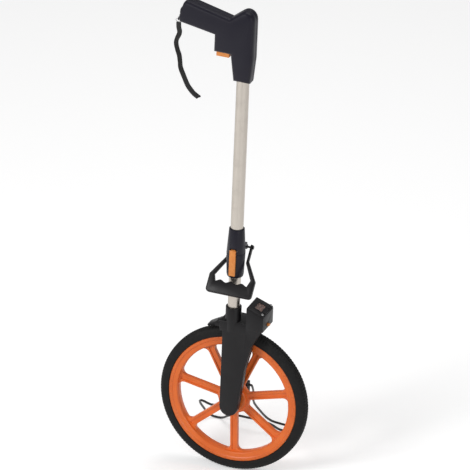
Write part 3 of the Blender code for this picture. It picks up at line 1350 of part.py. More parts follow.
def make_grip_fasteners(pole):
    for at, (x, z) in enumerate(GRIP_SCREWS, 1):
        profile = screw_profile(
            SCREW_RADIUS, SCREW_HEAD_RADIUS, SCREW_HEAD_HEIGHT, grip_screw_length()
        )
        screw = turned("grip_screw_%d" % at, profile, 12)
        head = POLE_Y + GRIP_HALF_THICKNESS - SCREW_HEAD_HEIGHT
        place(screw, STEEL, pole, body_place((x, head, z)), ALONG_AXLE)
    half = trigger_pin_half()
    pin = cylinder("trigger_pin", TRIGGER_PIN_RADIUS, -half, half, 12)
    spot = body_place((TRIGGER_PIVOT[0], POLE_Y, TRIGGER_PIVOT[1]))
    place(pin, STEEL, pole, spot, UPRIGHT)


def make_trigger(trigger_axis):
    """Finger pad and inner arm, one first-class lever about its pin."""
    outline = [
        (TRIGGER_LEFT, TRIGGER_BOTTOM),
        (TRIGGER_RIGHT, TRIGGER_BOTTOM),
        (TRIGGER_RIGHT + TRIGGER_EDGE, TRIGGER_BOTTOM + TRIGGER_EDGE),
        (TRIGGER_RIGHT + TRIGGER_EDGE, TRIGGER_ARM_BOTTOM),
        (TRIGGER_ARM_END, TRIGGER_ARM_BOTTOM),
        (TRIGGER_ARM_END, TRIGGER_TOP),
        (TRIGGER_PIVOT[0], TRIGGER_ARM_TOP),
        (TRIGGER_LEFT, TRIGGER_TOP),
    ]
    local = [(x - TRIGGER_PIVOT[0], z - TRIGGER_PIVOT[1]) for x, z in outline]
    ring = arc((0.0, 0.0), TRIGGER_PIN_RADIUS + CLEARANCE, 0.0, 2.0 * math.pi, 12)[:-1]
    trigger = plate("trigger", [local, ring], -TRIGGER_HALF_WIDTH, TRIGGER_HALF_WIDTH)
    place(trigger, PALE_ORANGE, trigger_axis, rotation=UPRIGHT)


def make_upper_rod(rod_frame):
    rod = cylinder(
        "upper_rod", ROD_RADIUS, SPLIT + CLEARANCE, TRIGGER_ARM_BOTTOM - CLEARANCE, 12
    )
    place(rod, STEEL, rod_frame, body_place((0.0, POLE_Y, 0.0)))


def stand_route():
    """The wire in its own plane: u across, s away from the pivot."""
    reach = BRACKET_HALF_WIDTH - STAND_SEAT_DEPTH
    shape = [
        (reach, 0.0), (0.0222, 0.0), (0.0258, 0.0014), (0.0268, 0.0050), (0.0240, 0.0300),
        (0.0165, 0.0600), (0.0120, 0.0920), (0.0170, 0.1250), (0.0240, 0.1540),
        (0.0330, 0.1690), (0.0450, 0.1740), (0.0590, 0.1765), (0.0700, 0.1800),
        (0.0735, 0.1900), (0.0700, 0.2030), (0.0600, 0.2095), (0.0490, 0.2095),
        (0.0390, 0.2050), (0.0320, 0.1940), (0.0180, 0.1830), (0.0000, 0.1790),
        (-0.0220, 0.1790), (-0.0440, 0.1790), (-0.0640, 0.1880), (-0.0770, 0.2020),
        (-0.0870, 0.2095), (-0.0990, 0.2100), (-0.1080, 0.2060), (-0.1140, 0.1950),
        (-0.1165, 0.1750), (-0.1190, 0.1560), (-0.1185, 0.1430), (-0.1140, 0.1370),
        (-0.1070, 0.1400), (-0.0960, 0.1490), (-0.0780, 0.1420), (-0.0600, 0.1130),
        (-0.0450, 0.0750), (-0.0330, 0.0380), (-0.0268, 0.0050), (-0.0258, 0.0014),
        (-0.0222, 0.0), (-reach, 0.0),
    ]
    return shape


def make_kickstand(stand_axis):
    """One bent wire, sprung into the bracket, its two feet on the ground."""
    flat = [(u, s, 0.0) for u, s in stand_route()]
    stand = wire("kickstand", smooth_route(flat, 2), STAND_WIRE_RADIUS, sides=1)
    place(stand, BLACK, stand_axis, rotation=(-STAND_ANGLE, 0.0, 0.0))


def ring_points():
    """The oval ring: two straight bars joined by half circles."""
    half = RING_HALF_LENGTH - RING_HALF_HEIGHT
    right = arc((half, 0.0), RING_HALF_HEIGHT, -math.pi / 2.0, math.pi / 2.0, 6)
    left = arc((-half, 0.0), RING_HALF_HEIGHT, math.pi / 2.0, 1.5 * math.pi, 6)
    return [(x, y, 0.0) for x, y in right + left]


# The strap's route as it hangs: X, Y and Z from the ring's centre, then its turn
# about its own length in degrees.
STRAP_ROUTE = [
    ((0.0000, 0.0000, -0.0046), 0.0),
    ((0.0002, 0.0000, -0.0160), 0.0),
    ((0.0018, 0.0000, -0.0290), 15.0),
    ((-0.0040, 0.0000, -0.0450), 50.0),
    ((-0.0056, 0.0000, -0.0550), 60.0),
    ((-0.0031, 0.0000, -0.0690), 65.0),
    ((0.0010, 0.0000, -0.0825), 55.0),
    ((0.0028, 0.0000, -0.0980), 60.0),
    ((0.0040, 0.0000, -0.1110), 55.0),
    ((0.0102, 0.0000, -0.1280), 35.0),
    ((0.0185, 0.0000, -0.1480), 20.0),
    ((0.0253, 0.0000, -0.1580), 15.0),
    ((0.0325, 0.0000, -0.1660), 30.0),
    ((0.0420, 0.0000, -0.1725), 50.0),
]


def band(name, route, width, thickness):
    """A flat webbing along a route of (place, turn) pairs, closed at both ends."""
    bm = bmesh.new()
    rows = []
    for at, (spot, turn) in enumerate(route):
        before = route[max(at - 1, 0)][0]
        after = route[min(at + 1, len(route) - 1)][0]
        along = (after - before).normalized()
        across = Vector((math.cos(turn), math.sin(turn), 0.0))
        across = (across - along * across.dot(along)).normalized()
        out = along.cross(across)
        corners = ((-1, -1), (1, -1), (1, 1), (-1, 1))
        row = []
        for a, b in corners:
            offset = across * (a * width / 2.0) + out * (b * thickness / 2.0)
            row.append(bm.verts.new(spot + offset))
        rows.append(row)
    for first, second in zip(rows, rows[1:]):
        for at in range(4):
            after = (at + 1) % 4
            bm.faces.new((first[at], first[after], second[after], second[at]))
    bm.faces.new(rows[0])
    bm.faces.new(list(reversed(rows[-1])))
    bmesh.ops.recalc_face_normals(bm, faces=bm.faces[:])
    return mesh_from(bm, name)


def strap_path():
    """Down one layer and back up the other, a little apart, with a turn at the bottom."""
    spots = smooth_route([Vector(p) for p, _ in STRAP_ROUTE], 2)
    turns = smooth_route([Vector((math.radians(t), 0.0, 0.0)) for _, t in STRAP_ROUTE], 2)
    apart = (STRAP_THICKNESS + STRAP_LAYER_GAP) / 2.0
    down, up = [], []
    for at, (spot, turn) in enumerate(zip(spots, turns)):
        before = spots[max(at - 1, 0)]
        after = spots[min(at + 1, len(spots) - 1)]
        along = (after - before).normalized()
        across = Vector((math.cos(turn.x), math.sin(turn.x), 0.0))
        across = (across - along * across.dot(along)).normalized()
        out = along.cross(across)
        down.append((spot + out * apart, turn.x))
        up.append((spot - out * apart, turn.x))
    return down, up


def make_strap(ring_frame):
    """Oval ring and the two layers of webbing that hang from it."""
    ring = wire("strap_ring", ring_points(), RING_WIRE_RADIUS, sides=1, closed=True)
    centre = (0.0, 0.0, -RING_HALF_HEIGHT)
    place(ring, STEEL, ring_frame, centre, UPRIGHT)
    down, up = strap_path()
    last = down[-1][0] - up[-1][0]
    along = (down[-1][0] - down[-2][0]).normalized()
    fold = []
    for at in range(1, 4):
        angle = math.pi * at / 4.0
        middle = (down[-1][0] + up[-1][0]) / 2.0
        fold.append((middle + last / 2.0 * math.cos(angle)
                     + along * (last.length / 2.0) * math.sin(angle), down[-1][1]))
    strap = band("wrist_strap", down + fold + list(reversed(up)), STRAP_WIDTH, STRAP_THICKNESS)
    place(strap, BLACK, ring_frame, centre)


def build():
    contact_y = TYRE_RADIUS * math.sin(LEAN) - TREAD_HALF_WIDTH * math.cos(LEAN)
    contact_z = TYRE_RADIUS * math.cos(LEAN) + TREAD_HALF_WIDTH * math.sin(LEAN)
    lean = make_frame("lean", None, (0.0, contact_y, contact_z), (-LEAN, 0.0, 0.0))
    wheel = make_frame("wheel_axis", lean, (0.0, 0.0, 0.0))
    make_tyre(wheel)
    make_rim(wheel)
    make_bushes(wheel)
    make_hub_pulley(wheel)
    face_at = (FACE_POINT[0], 0.0, FACE_POINT[1])
    lid_frame = make_frame("lid_frame", lean, face_at, (0.0, FACE_SLOPE, 0.0))
    make_fork_leg(lean, lid_frame)
    make_leg_cover(lean)
    make_axle(lean)
    make_belt(lean)
    shaft_axis = make_frame("shaft_axis", lean, (COUNTER_AXIS[0], 0.0, COUNTER_AXIS[1]))
    make_counter_train(lean, shaft_axis)
    make_counter_lid(lid_frame)
    reset_at = (RESET_PIVOT[0], WINDOW_Y, RESET_PIVOT[1])
    make_reset_lever(make_frame("reset_axis", lean, reset_at))
    make_reset_pin(lean)
    make_brake(make_frame("brake_slide", lean, (0.0, 0.0, 0.0)))
    make_lower_pole(lean)
    make_hinge_pin(lean)
    fold_axis = make_frame("fold_axis", lean, (0.0, HINGE_Y, SPLIT))
    make_upper_pole(fold_axis)
    latch_at = body_place((0.0, LATCH_PIVOT[0], LATCH_PIVOT[1]))
    make_latch(make_frame("latch_axis", fold_axis, latch_at))
    make_carry_handle(make_frame("bail_axis", lean, (0.0, HINGE_Y, SPLIT)))
    make_grip(fold_axis)
    make_grip_fasteners(fold_axis)
    trigger_at = body_place((TRIGGER_PIVOT[0], POLE_Y, TRIGGER_PIVOT[1]))
    make_trigger(make_frame("trigger_axis", fold_axis, trigger_at))
    make_upper_rod(make_frame("rod_slide", fold_axis, (0.0, 0.0, 0.0)))
    make_kickstand(make_frame("stand_axis", lean, (0.0, STAND_PIVOT[0], STAND_PIVOT[1])))
    ring_at = body_place((RING_CENTRE[0], POLE_Y, strap_bar_height()))
    make_strap(make_frame("ring_axis", fold_axis, ring_at, (LEAN, 0.0, 0.0)))


clear_scene()
PARTS = make_collection("measuring_wheel")
CUTTERS = make_collection("cutters")
build()
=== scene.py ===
"""Folding measuring wheel: its finishes, tread, webbing, light and camera."""
import json
import math

import bmesh
import bpy
from mathutils import Matrix, Vector

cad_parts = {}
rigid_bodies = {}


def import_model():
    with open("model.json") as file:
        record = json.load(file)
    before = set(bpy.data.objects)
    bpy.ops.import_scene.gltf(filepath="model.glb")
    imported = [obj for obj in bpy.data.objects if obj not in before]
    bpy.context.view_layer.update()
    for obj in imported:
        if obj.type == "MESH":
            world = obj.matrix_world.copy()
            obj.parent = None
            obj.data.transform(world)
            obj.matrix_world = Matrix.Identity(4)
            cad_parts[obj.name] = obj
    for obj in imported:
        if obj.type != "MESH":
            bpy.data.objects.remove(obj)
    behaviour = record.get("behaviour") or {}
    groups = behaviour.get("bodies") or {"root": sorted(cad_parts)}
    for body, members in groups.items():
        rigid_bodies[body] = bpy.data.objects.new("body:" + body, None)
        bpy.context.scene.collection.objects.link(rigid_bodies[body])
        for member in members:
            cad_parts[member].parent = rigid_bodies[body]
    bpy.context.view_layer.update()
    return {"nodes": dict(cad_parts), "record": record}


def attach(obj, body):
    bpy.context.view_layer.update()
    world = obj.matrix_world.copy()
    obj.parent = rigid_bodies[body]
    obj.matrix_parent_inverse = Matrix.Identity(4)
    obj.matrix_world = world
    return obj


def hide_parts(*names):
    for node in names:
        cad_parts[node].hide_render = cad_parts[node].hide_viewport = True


for leftover in list(bpy.data.objects):
    bpy.data.objects.remove(leftover)
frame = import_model()
BODIES = frame["record"]["behaviour"]["bodies"]
BODY_OF = {name: body for body, names in BODIES.items() for name in names}
SLOT_OF = {part["node"]: part["material_slot"] for part in frame["record"]["subparts"]}

# The wheel leans on its stand, so most finishes are drawn in the wheel's own frame.
LEAN = math.radians(5.8)
AXLE_Y = 0.008622
AXLE_Z = 0.159098
WHEEL = Matrix.Translation((0.0, AXLE_Y, AXLE_Z)) @ Matrix.Rotation(-LEAN, 4, "X")

# Half of the tyre's section, from the tread's middle to the seat on the rim:
# (place across, radius, depth of the cross grooves there).
TYRE_RADIUS = 0.159155
CHANNEL_RADIUS = 0.15796
RIM_SEAT = 0.1393
GROOVE = 0.0008
SHOULDER_GROOVE = 0.0005
TYRE_SECTION = [
    (0.0022, TYRE_RADIUS, 0.0),
    (0.0023, CHANNEL_RADIUS, 0.0),
    (0.0037, CHANNEL_RADIUS, GROOVE),
    (0.0038, TYRE_RADIUS, GROOVE),
    (0.0058, 0.1590, GROOVE),
    (0.0075, 0.1586, GROOVE),
    (0.0096, 0.1576, GROOVE),
    (0.0118, 0.15565, SHOULDER_GROOVE),
    (0.0136, 0.1526, SHOULDER_GROOVE),
    (0.0145, 0.1493, 0.0),
    (0.0145, 0.1404, 0.0),
    (0.0135, RIM_SEAT, 0.0),
]
TREAD_BLOCKS = 150
STEPS_PER_BLOCK = 4

# The wrist strap hangs from the bar of its ring, in two layers. Its route is (place, turn in degrees).
STRAP_BAR = (-0.1440, -0.0260, 0.8371)
STRAP_DROP = 0.0036
STRAP_WIDTH = 0.0098
STRAP_THICKNESS = 0.0014
STRAP_LAYER_GAP = 0.0012
WARP_RIBS = 9.0
WEFT_PITCH = 0.0011
STRAP_ROUTE = [
    ((0.0000, 0.0000, -0.0046), 0.0),
    ((0.0002, 0.0000, -0.0160), 0.0),
    ((0.0018, 0.0000, -0.0290), 15.0),
    ((-0.0040, 0.0000, -0.0450), 50.0),
    ((-0.0056, 0.0000, -0.0550), 60.0),
    ((-0.0031, 0.0000, -0.0690), 65.0),
    ((0.0010, 0.0000, -0.0825), 55.0),
    ((0.0028, 0.0000, -0.0980), 60.0),
    ((0.0040, 0.0000, -0.1110), 55.0),
    ((0.0102, 0.0000, -0.1280), 35.0),
    ((0.0185, 0.0000, -0.1480), 20.0),
    ((0.0253, 0.0000, -0.1580), 15.0),
    ((0.0325, 0.0000, -0.1660), 30.0),
    ((0.0420, 0.0000, -0.1725), 50.0),
]


# Studio: softboxes are (name, place, width, height, watts), all aimed at the object's middle.
MIDDLE = (0.0, 0.0, 0.5)
ROOM_STRENGTH = 0.28
SOFTBOXES = [
    ("key_softbox", (-2.2, -3.0, 2.9), 1.6, 1.6, 105.0),
    ("fill_softbox", (2.8, -2.4, 1.6), 1.8, 2.2, 34.0),
    ("top_softbox", (0.3, 1.0, 3.4), 2.0, 2.0, 36.0),
]

# Camera: the photograph's view, from far away, as its perspective is very weak.
AZIMUTH = math.radians(21.3)
ELEVATION = math.radians(31.6)
DISTANCE = 40.0
FRAME_WIDTH = 0.9595
SENSOR_WIDTH = 36.0
AIM_RIGHT = 0.00106
AIM_UP = 0.3297


# Shared steps for materials

def new_material(name, colour, roughness, metallic=0.0):
    material = bpy.data.materials.new(name)
    material.use_nodes = True
    material.diffuse_color = (*colour, 1.0)
    shader = material.node_tree.nodes["Principled BSDF"]
    shader.inputs["Base Color"].default_value = (*colour, 1.0)
    shader.inputs["Roughness"].default_value = roughness
    shader.inputs["Metallic"].default_value = metallic
    return material, shader


def node(material, kind, **values):
    made = material.node_tree.nodes.new(kind)
    for name, value in values.items():
        setattr(made, name, value)
    return made


def link(material, output, target):
    material.node_tree.links.new(output, target)


def wheel_coords(material, scale=(1.0, 1.0, 1.0)):
    """Places on the piece in the wheel's own frame, so a pattern follows the leaning parts."""
    coords = node(material, "ShaderNodeTexCoord")
    mapping = node(material, "ShaderNodeMapping", vector_type="TEXTURE")
    mapping.inputs["Location"].default_value = (0.0, AXLE_Y, AXLE_Z)
    mapping.inputs["Rotation"].default_value = (-LEAN, 0.0, 0.0)
    link(material, coords.outputs["Object"], mapping.inputs["Vector"])
    if scale == (1.0, 1.0, 1.0):
        return mapping.outputs["Vector"]
    stretch = node(material, "ShaderNodeMapping")
    stretch.inputs["Scale"].default_value = scale
    link(material, mapping.outputs["Vector"], stretch.inputs["Vector"])
    return stretch.outputs["Vector"]


def noise(material, vector, scale, detail=2.0, roughness=0.5):
    made = node(material, "ShaderNodeTexNoise")
    made.inputs["Scale"].default_value = scale
    made.inputs["Detail"].default_value = detail
    made.inputs["Roughness"].default_value = roughness
    link(material, vector, made.inputs["Vector"])
    return made.outputs["Fac"]


def ramp(material, value, stops):
    """A colour ramp: stops are (place, colour)."""
    made = node(material, "ShaderNodeValToRGB")
    elements = made.color_ramp.elements
    while len(elements) < len(stops):
        elements.new(0.5)
    for element, (place, tone) in zip(elements, stops):
        element.position = place
        element.color = (*tone, 1.0)
    link(material, value, made.inputs["Fac"])
    return made.outputs["Color"]


def mix(material, factor, first, second):
    """One colour over another; each is a colour or an output."""
    made = node(material, "ShaderNodeMix", data_type="RGBA")
    for socket, given in ((made.inputs[0], factor), (made.inputs[6], first), (made.inputs[7], second)):
        if isinstance(given, bpy.types.NodeSocket):
            link(material, given, socket)
        elif isinstance(given, float):
            socket.default_value = given
        else:
            socket.default_value = (*given, 1.0)
    return made.outputs[2]


def span(material, value, low, high, to_low, to_high):
    made = node(material, "ShaderNodeMapRange")
    for name, number in (("From Min", low), ("From Max", high), ("To Min", to_low), ("To Max", to_high)):
        made.inputs[name].default_value = number
    link(material, value, made.inputs["Value"])
    return made.outputs["Result"]


def sums(material, operation, first, second):
    made = node(material, "ShaderNodeMath", operation=operation)
    for socket, given in zip(made.inputs, (first, second)):
        if isinstance(given, bpy.types.NodeSocket):
            link(material, given, socket)
        else:
            socket.default_value = given
    return made.outputs["Value"]


def bump(material, shader, height, distance, strength=1.0):
    made = node(material, "ShaderNodeBump")
    made.inputs["Strength"].default_value = strength
    made.inputs["Distance"].default_value = distance
    link(material, height, made.inputs["Height"])
    link(material, made.outputs["Normal"], shader.inputs["Normal"])


# The finishes

def moulded_plastic(name, colour, worn, roughness, grain=1400.0, depth=0.00006):
    """Moulded plastic: a spark-eroded grain, faint scuffs and a little handling shine."""
    material, shader = new_material(name, colour, roughness)
    place = wheel_coords(material)
    fine = noise(material, place, grain, 3.0, 0.6)
    broad = noise(material, place, 34.0, 4.0, 0.55)
    scuffs = noise(material, wheel_coords(material, (1.0, 1.0, 0.22)), 620.0, 2.0, 0.7)
    scuffed = sums(material, "MULTIPLY", span(material, scuffs, 0.62, 0.76, 0.0, 1.0),
                   span(material, broad, 0.5, 0.68, 0.0, 0.5))
    link(material, mix(material, scuffed, colour, worn), shader.inputs["Base Color"])
    shine = span(material, broad, 0.3, 0.7, roughness - 0.06, roughness + 0.08)
    link(material, shine, shader.inputs["Roughness"])
    shader.inputs["Specular IOR Level"].default_value = 0.3
    bump(material, shader, fine, depth, 0.8)
    return material


def black_plastic():
    return moulded_plastic("black_plastic", (0.0048, 0.0042, 0.0052), (0.025, 0.024, 0.025), 0.44)


def navy_plastic():
    return moulded_plastic("navy_plastic", (0.0050, 0.0040, 0.0120), (0.02, 0.019, 0.032), 0.42)


def rim_orange():
    """The wheel's orange moulding, a little dirty towards the tyre."""
    base, dirt = (0.86, 0.175, 0.022), (0.40, 0.080, 0.022)
    material, shader = new_material("rim_orange", base, 0.36)
    place = wheel_coords(material)
    parts = node(material, "ShaderNodeSeparateXYZ")
    link(material, place, parts.inputs["Vector"])
    across = sums(material, "POWER", parts.outputs["X"], 2.0)
    up = sums(material, "POWER", parts.outputs["Z"], 2.0)
    radius = sums(material, "SQRT", sums(material, "ADD", across, up), 0.0)
    speckle = noise(material, place, 260.0, 4.0, 0.6)
    cloud = noise(material, place, 26.0, 3.0, 0.5)
    outer = span(material, radius, 0.128, 0.140, 0.0, 0.7)
    grime = sums(material, "MULTIPLY", outer, span(material, speckle, 0.42, 0.7, 0.0, 1.0))
    tone = mix(material, span(material, cloud, 0.3, 0.7, 0.0, 1.0), base, (0.76, 0.140, 0.016))
    link(material, mix(material, grime, tone, dirt), shader.inputs["Base Color"])
    link(material, span(material, cloud, 0.3, 0.7, 0.32, 0.42), shader.inputs["Roughness"])
    shader.inputs["Subsurface Weight"].default_value = 0.06
    shader.inputs["Subsurface Radius"].default_value = (0.004, 0.0015, 0.0008)
    bump(material, shader, noise(material, place, 900.0, 2.0), 0.00005, 0.6)
    return material


def pale_orange():
    """Trigger, latch and reset lever: a lighter orange, polished by fingers."""
    base = (0.78, 0.285, 0.062)
    material, shader = new_material("pale_orange", base, 0.38)
    place = wheel_coords(material)
    cloud = noise(material, place, 120.0, 3.0)
    link(material, mix(material, span(material, cloud, 0.35, 0.7, 0.0, 1.0), base,
                       (0.70, 0.225, 0.045)), shader.inputs["Base Color"])
    link(material, span(material, cloud, 0.3, 0.7, 0.32, 0.46), shader.inputs["Roughness"])
    bump(material, shader, noise(material, place, 1200.0, 2.0), 0.00005, 0.7)
    return material


def rubber(name, colour, dust, roughness):
    """Vulcanised rubber, a bit dusty in patches."""
    material, shader = new_material(name, colour, roughness)
    place = wheel_coords(material)
    cloud = noise(material, place, 70.0, 5.0, 0.6)
    link(material, mix(material, span(material, cloud, 0.48, 0.72, 0.0, 1.0), colour, dust),
         shader.inputs["Base Color"])
    link(material, span(material, cloud, 0.3, 0.7, roughness - 0.05, roughness + 0.1),
         shader.inputs["Roughness"])
    shader.inputs["Specular IOR Level"].default_value = 0.25
    bump(material, shader, noise(material, place, 1500.0, 3.0, 0.65), 0.00012, 0.8)
    return material


def tyre_rubber():
    return rubber("tyre_rubber", (0.0060, 0.0060, 0.0062), (0.016, 0.015, 0.014), 0.66)


def plain_rubber():
    return rubber("plain_rubber", (0.012, 0.012, 0.012), (0.022, 0.021, 0.02), 0.7)


def aluminium():
    """Satin anodised tube: drawn lines along it, faint rubs and a few finger marks."""
    base = (0.50, 0.455, 0.405)
    material, shader = new_material("satin_aluminium", base, 0.33, 1.0)
    drawn = noise(material, wheel_coords(material, (1.0, 1.0, 0.012)), 2600.0, 3.0, 0.6)
    place = wheel_coords(material)
    cloud = noise(material, place, 40.0, 5.0, 0.6)
    tone = mix(material, span(material, drawn, 0.3, 0.7, 0.0, 1.0), base, (0.58, 0.535, 0.48))
    marks = span(material, cloud, 0.55, 0.75, 0.0, 0.35)
    link(material, mix(material, marks, tone, (0.38, 0.345, 0.31)), shader.inputs["Base Color"])
    link(material, sums(material, "ADD", span(material, drawn, 0.3, 0.7, 0.26, 0.36),
                        span(material, cloud, 0.4, 0.75, 0.0, 0.09)), shader.inputs["Roughness"])
    shader.inputs["Anisotropic"].default_value = 0.35
    bump(material, shader, drawn, 0.00002, 0.5)
    return material


def zinc_steel():
    """Bright zinc plate: fine pitting and a few dull spots."""
    material, shader = new_material("zinc_steel", (0.56, 0.56, 0.57), 0.26, 1.0)
    place = wheel_coords(material)
    spots = noise(material, place, 420.0, 4.0, 0.6)
    link(material, ramp(material, spots, [(0.42, (0.60, 0.60, 0.61)), (0.66, (0.42, 0.42, 0.41))]),
         shader.inputs["Base Color"])
    link(material, span(material, spots, 0.35, 0.7, 0.2, 0.42), shader.inputs["Roughness"])
    bump(material, shader, spots, 0.00003, 0.5)
    return material


def blackened_steel():
    """Oiled black oxide with bare metal showing where it rubs."""
    material, shader = new_material("blackened_steel", (0.03, 0.03, 0.032), 0.35, 0.9)
    place = wheel_coords(material)
    rub = noise(material, place, 300.0, 4.0, 0.65)
    link(material, ramp(material, rub, [(0.5, (0.022, 0.022, 0.024)), (0.72, (0.16, 0.155, 0.15))]),
         shader.inputs["Base Color"])
    link(material, span(material, rub, 0.35, 0.7, 0.3, 0.48), shader.inputs["Roughness"])
    bump(material, shader, rub, 0.00003, 0.4)
    return material


def black_wire():
    """Powder-coated wire: a fine orange-peel skin."""
    material, shader = new_material("black_wire", (0.010, 0.010, 0.011), 0.34)
    place = wheel_coords(material)
    peel = noise(material, place, 700.0, 2.0)
    scratch = noise(material, place, 180.0, 5.0, 0.7)
    link(material, ramp(material, scratch, [(0.6, (0.010, 0.010, 0.011)), (0.8, (0.07, 0.068, 0.065))]),
         shader.inputs["Base Color"])
    link(material, span(material, scratch, 0.3, 0.7, 0.28, 0.42), shader.inputs["Roughness"])
    shader.inputs["Coat Weight"].default_value = 0.25
    bump(material, shader, peel, 0.00008, 0.7)
    return material


def bush_brass():
    material, shader = new_material("bush_brass", (0.62, 0.44, 0.19), 0.3, 1.0)
    place = wheel_coords(material)
    turned = noise(material, wheel_coords(material, (1.0, 60.0, 1.0)), 160.0, 2.0)
    spots = noise(material, place, 300.0, 3.0)
    link(material, ramp(material, spots, [(0.4, (0.66, 0.47, 0.21)), (0.7, (0.45, 0.31, 0.13))]),
         shader.inputs["Base Color"])
    link(material, span(material, turned, 0.3, 0.7, 0.22, 0.4), shader.inputs["Roughness"])
    bump(material, shader, turned, 0.00003, 0.5)
    return material


def drum_plastic():
    """Cream counter drums with a fine moulded skin."""
    material, shader = new_material("drum_plastic", (0.78, 0.75, 0.66), 0.45)
    place = wheel_coords(material)
    cloud = noise(material, place, 160.0, 3.0)
    link(material, ramp(material, cloud, [(0.35, (0.80, 0.77, 0.68)), (0.7, (0.70, 0.66, 0.56))]),
         shader.inputs["Base Color"])
    bump(material, shader, noise(material, place, 1500.0, 2.0), 0.00004, 0.6)
    return material


def smoked_window():
    """The counter's clear window, warm in tint, with a few rub marks."""
    material, shader = new_material("smoked_window", (0.80, 0.56, 0.50), 0.06)
    place = wheel_coords(material)
    rubs = noise(material, wheel_coords(material, (1.0, 0.15, 1.0)), 700.0, 3.0, 0.6)
    link(material, span(material, rubs, 0.5, 0.75, 0.05, 0.22), shader.inputs["Roughness"])
    shader.inputs["Transmission Weight"].default_value = 0.85
    shader.inputs["IOR"].default_value = 1.49
    bump(material, shader, noise(material, place, 90.0, 1.0), 0.00002, 0.4)
    return material


def webbing():
    """Woven nylon: ribs across the strap and a thread count along it, on its own UV map."""
    material, shader = new_material("webbing", (0.010, 0.010, 0.011), 0.72)
    uv = node(material, "ShaderNodeUVMap", uv_map="along")
    parts = node(material, "ShaderNodeSeparateXYZ")
    link(material, uv.outputs["UV"], parts.inputs["Vector"])
    across = sums(material, "MULTIPLY", parts.outputs["X"], 2.0 * math.pi * WARP_RIBS)
    along = sums(material, "MULTIPLY", parts.outputs["Y"], 2.0 * math.pi / WEFT_PITCH)
    warp = sums(material, "SINE", across, 0.0)
    weft = sums(material, "SINE", along, 0.0)
    weave = sums(material, "MULTIPLY", warp, weft)
    tone = span(material, weave, -1.0, 1.0, 0.0, 1.0)
    link(material, mix(material, tone, (0.0035, 0.0033, 0.0036), (0.012, 0.011, 0.011)),
         shader.inputs["Base Color"])
    shader.inputs["Sheen Weight"].default_value = 0.15
    shader.inputs["Sheen Roughness"].default_value = 0.4
    bump(material, shader, weave, 0.00012, 0.7)
    return material


# Shared steps for pieces

def deselect():
    if bpy.context.object and bpy.context.object.mode != "OBJECT":
        bpy.ops.object.mode_set(mode="OBJECT")
    bpy.ops.object.select_all(action="DESELECT")


def pick(piece):
    deselect()
    piece.select_set(True)
    bpy.context.view_layer.objects.active = piece


def dress(piece, material):
    piece.data.materials.clear()
    piece.data.materials.append(material)


def settle(piece, body, material, slot, *nodes):
    """The piece rides on its body and stands for the nodes it replaces."""
    dress(piece, material)
    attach(piece, body)
    if nodes:
        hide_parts(*nodes)
    return piece


def round_edges(piece, width, segments=2, angle=28.0):
    pick(piece)
    edge = piece.modifiers.new("rounded", "BEVEL")
    edge.width = width
    edge.segments = segments
    edge.limit_method = "ANGLE"
    edge.angle_limit = math.radians(angle)
    edge.use_clamp_overlap = True
    bpy.ops.object.modifier_apply(modifier=edge.name)


def smooth(piece, angle=32.0):
    pick(piece)
    bpy.ops.object.shade_smooth_by_angle(angle=math.radians(angle))


def new_piece(name, bm):
    """An object of its own from faces made in code, all pointing outwards."""
    bmesh.ops.recalc_face_normals(bm, faces=bm.faces[:])
    mesh = bpy.data.meshes.new(name)
    bm.to_mesh(mesh)
    bm.free()
    piece = bpy.data.objects.new(name, mesh)
    bpy.context.scene.collection.objects.link(piece)
    return piece


def joined_copy(source, name):
    """A solid's own mesh with its loose triangles joined into faces."""
    piece = source.copy()
    piece.data = source.data.copy()
    piece.name = name
    piece.parent = None
    piece.matrix_world = Matrix.Identity(4)
    bpy.context.scene.collection.objects.link(piece)
    pick(piece)
    bpy.ops.mesh.customdata_custom_splitnormals_clear()
    bpy.ops.object.mode_set(mode="EDIT")
    bpy.ops.mesh.select_all(action="SELECT")
    bpy.ops.mesh.remove_doubles(threshold=0.000005)
    bpy.ops.mesh.dissolve_limited(angle_limit=math.radians(0.5))
    bpy.ops.object.mode_set(mode="OBJECT")
    return piece


def finished(node_name, material, edge=0.0, angle=32.0):
    """The solid with softly rounded edges and smooth shading, in its place."""
    body = BODY_OF[node_name]
    piece = joined_copy(frame["nodes"][node_name], node_name + "_finished")
    if edge:
        round_edges(piece, edge)
    smooth(piece, angle)
    return settle(piece, body, material, SLOT_OF[node_name], node_name)


# The tyre

def tyre_tread(material):
    """A ring with flat sides and a crowned tread, cut by cross grooves and two channels."""
    mirrored = [(-across, radius, depth) for across, radius, depth in reversed(TYRE_SECTION)]
    section = mirrored + TYRE_SECTION
    steps = STEPS_PER_BLOCK * TREAD_BLOCKS
    bm = bmesh.new()
    rings = []
    for step in range(steps):
        turn = 2.0 * math.pi * step / steps
        sunk = step % STEPS_PER_BLOCK == 0
        ring = []
        for across, radius, depth in section:
            reach = radius - depth if sunk else radius
            ring.append(bm.verts.new((reach * math.cos(turn), across, reach * math.sin(turn))))
        rings.append(ring)
    for at, ring in enumerate(rings):
        after = rings[(at + 1) % steps]
        for spot in range(len(section)):
            far = (spot + 1) % len(section)
            bm.faces.new((ring[spot], ring[far], after[far], after[spot]))
    piece = new_piece("tyre_tread", bm)
    piece.data.transform(WHEEL)
    smooth(piece, 30.0)
    return settle(piece, "wheel", material, "tyre_rubber", "tyre")


# The wrist strap

def smooth_route(points, per_leg):
    """Points on one smooth curve through the given ones."""
    ends = [points[0]] + list(points) + [points[-1]]
    route = []
    for at in range(len(points) - 1):
        before, start, stop, after = (Vector(p) for p in ends[at : at + 4])
        for step in range(per_leg):
            t = step / per_leg
            lead, tail = (stop - before) * 0.5, (after - start) * 0.5
            route.append(start * (2 * t**3 - 3 * t**2 + 1) + lead * (t**3 - 2 * t**2 + t)
                         + stop * (3 * t**2 - 2 * t**3) + tail * (t**3 - t**2))
    route.append(Vector(points[-1]))
    return route


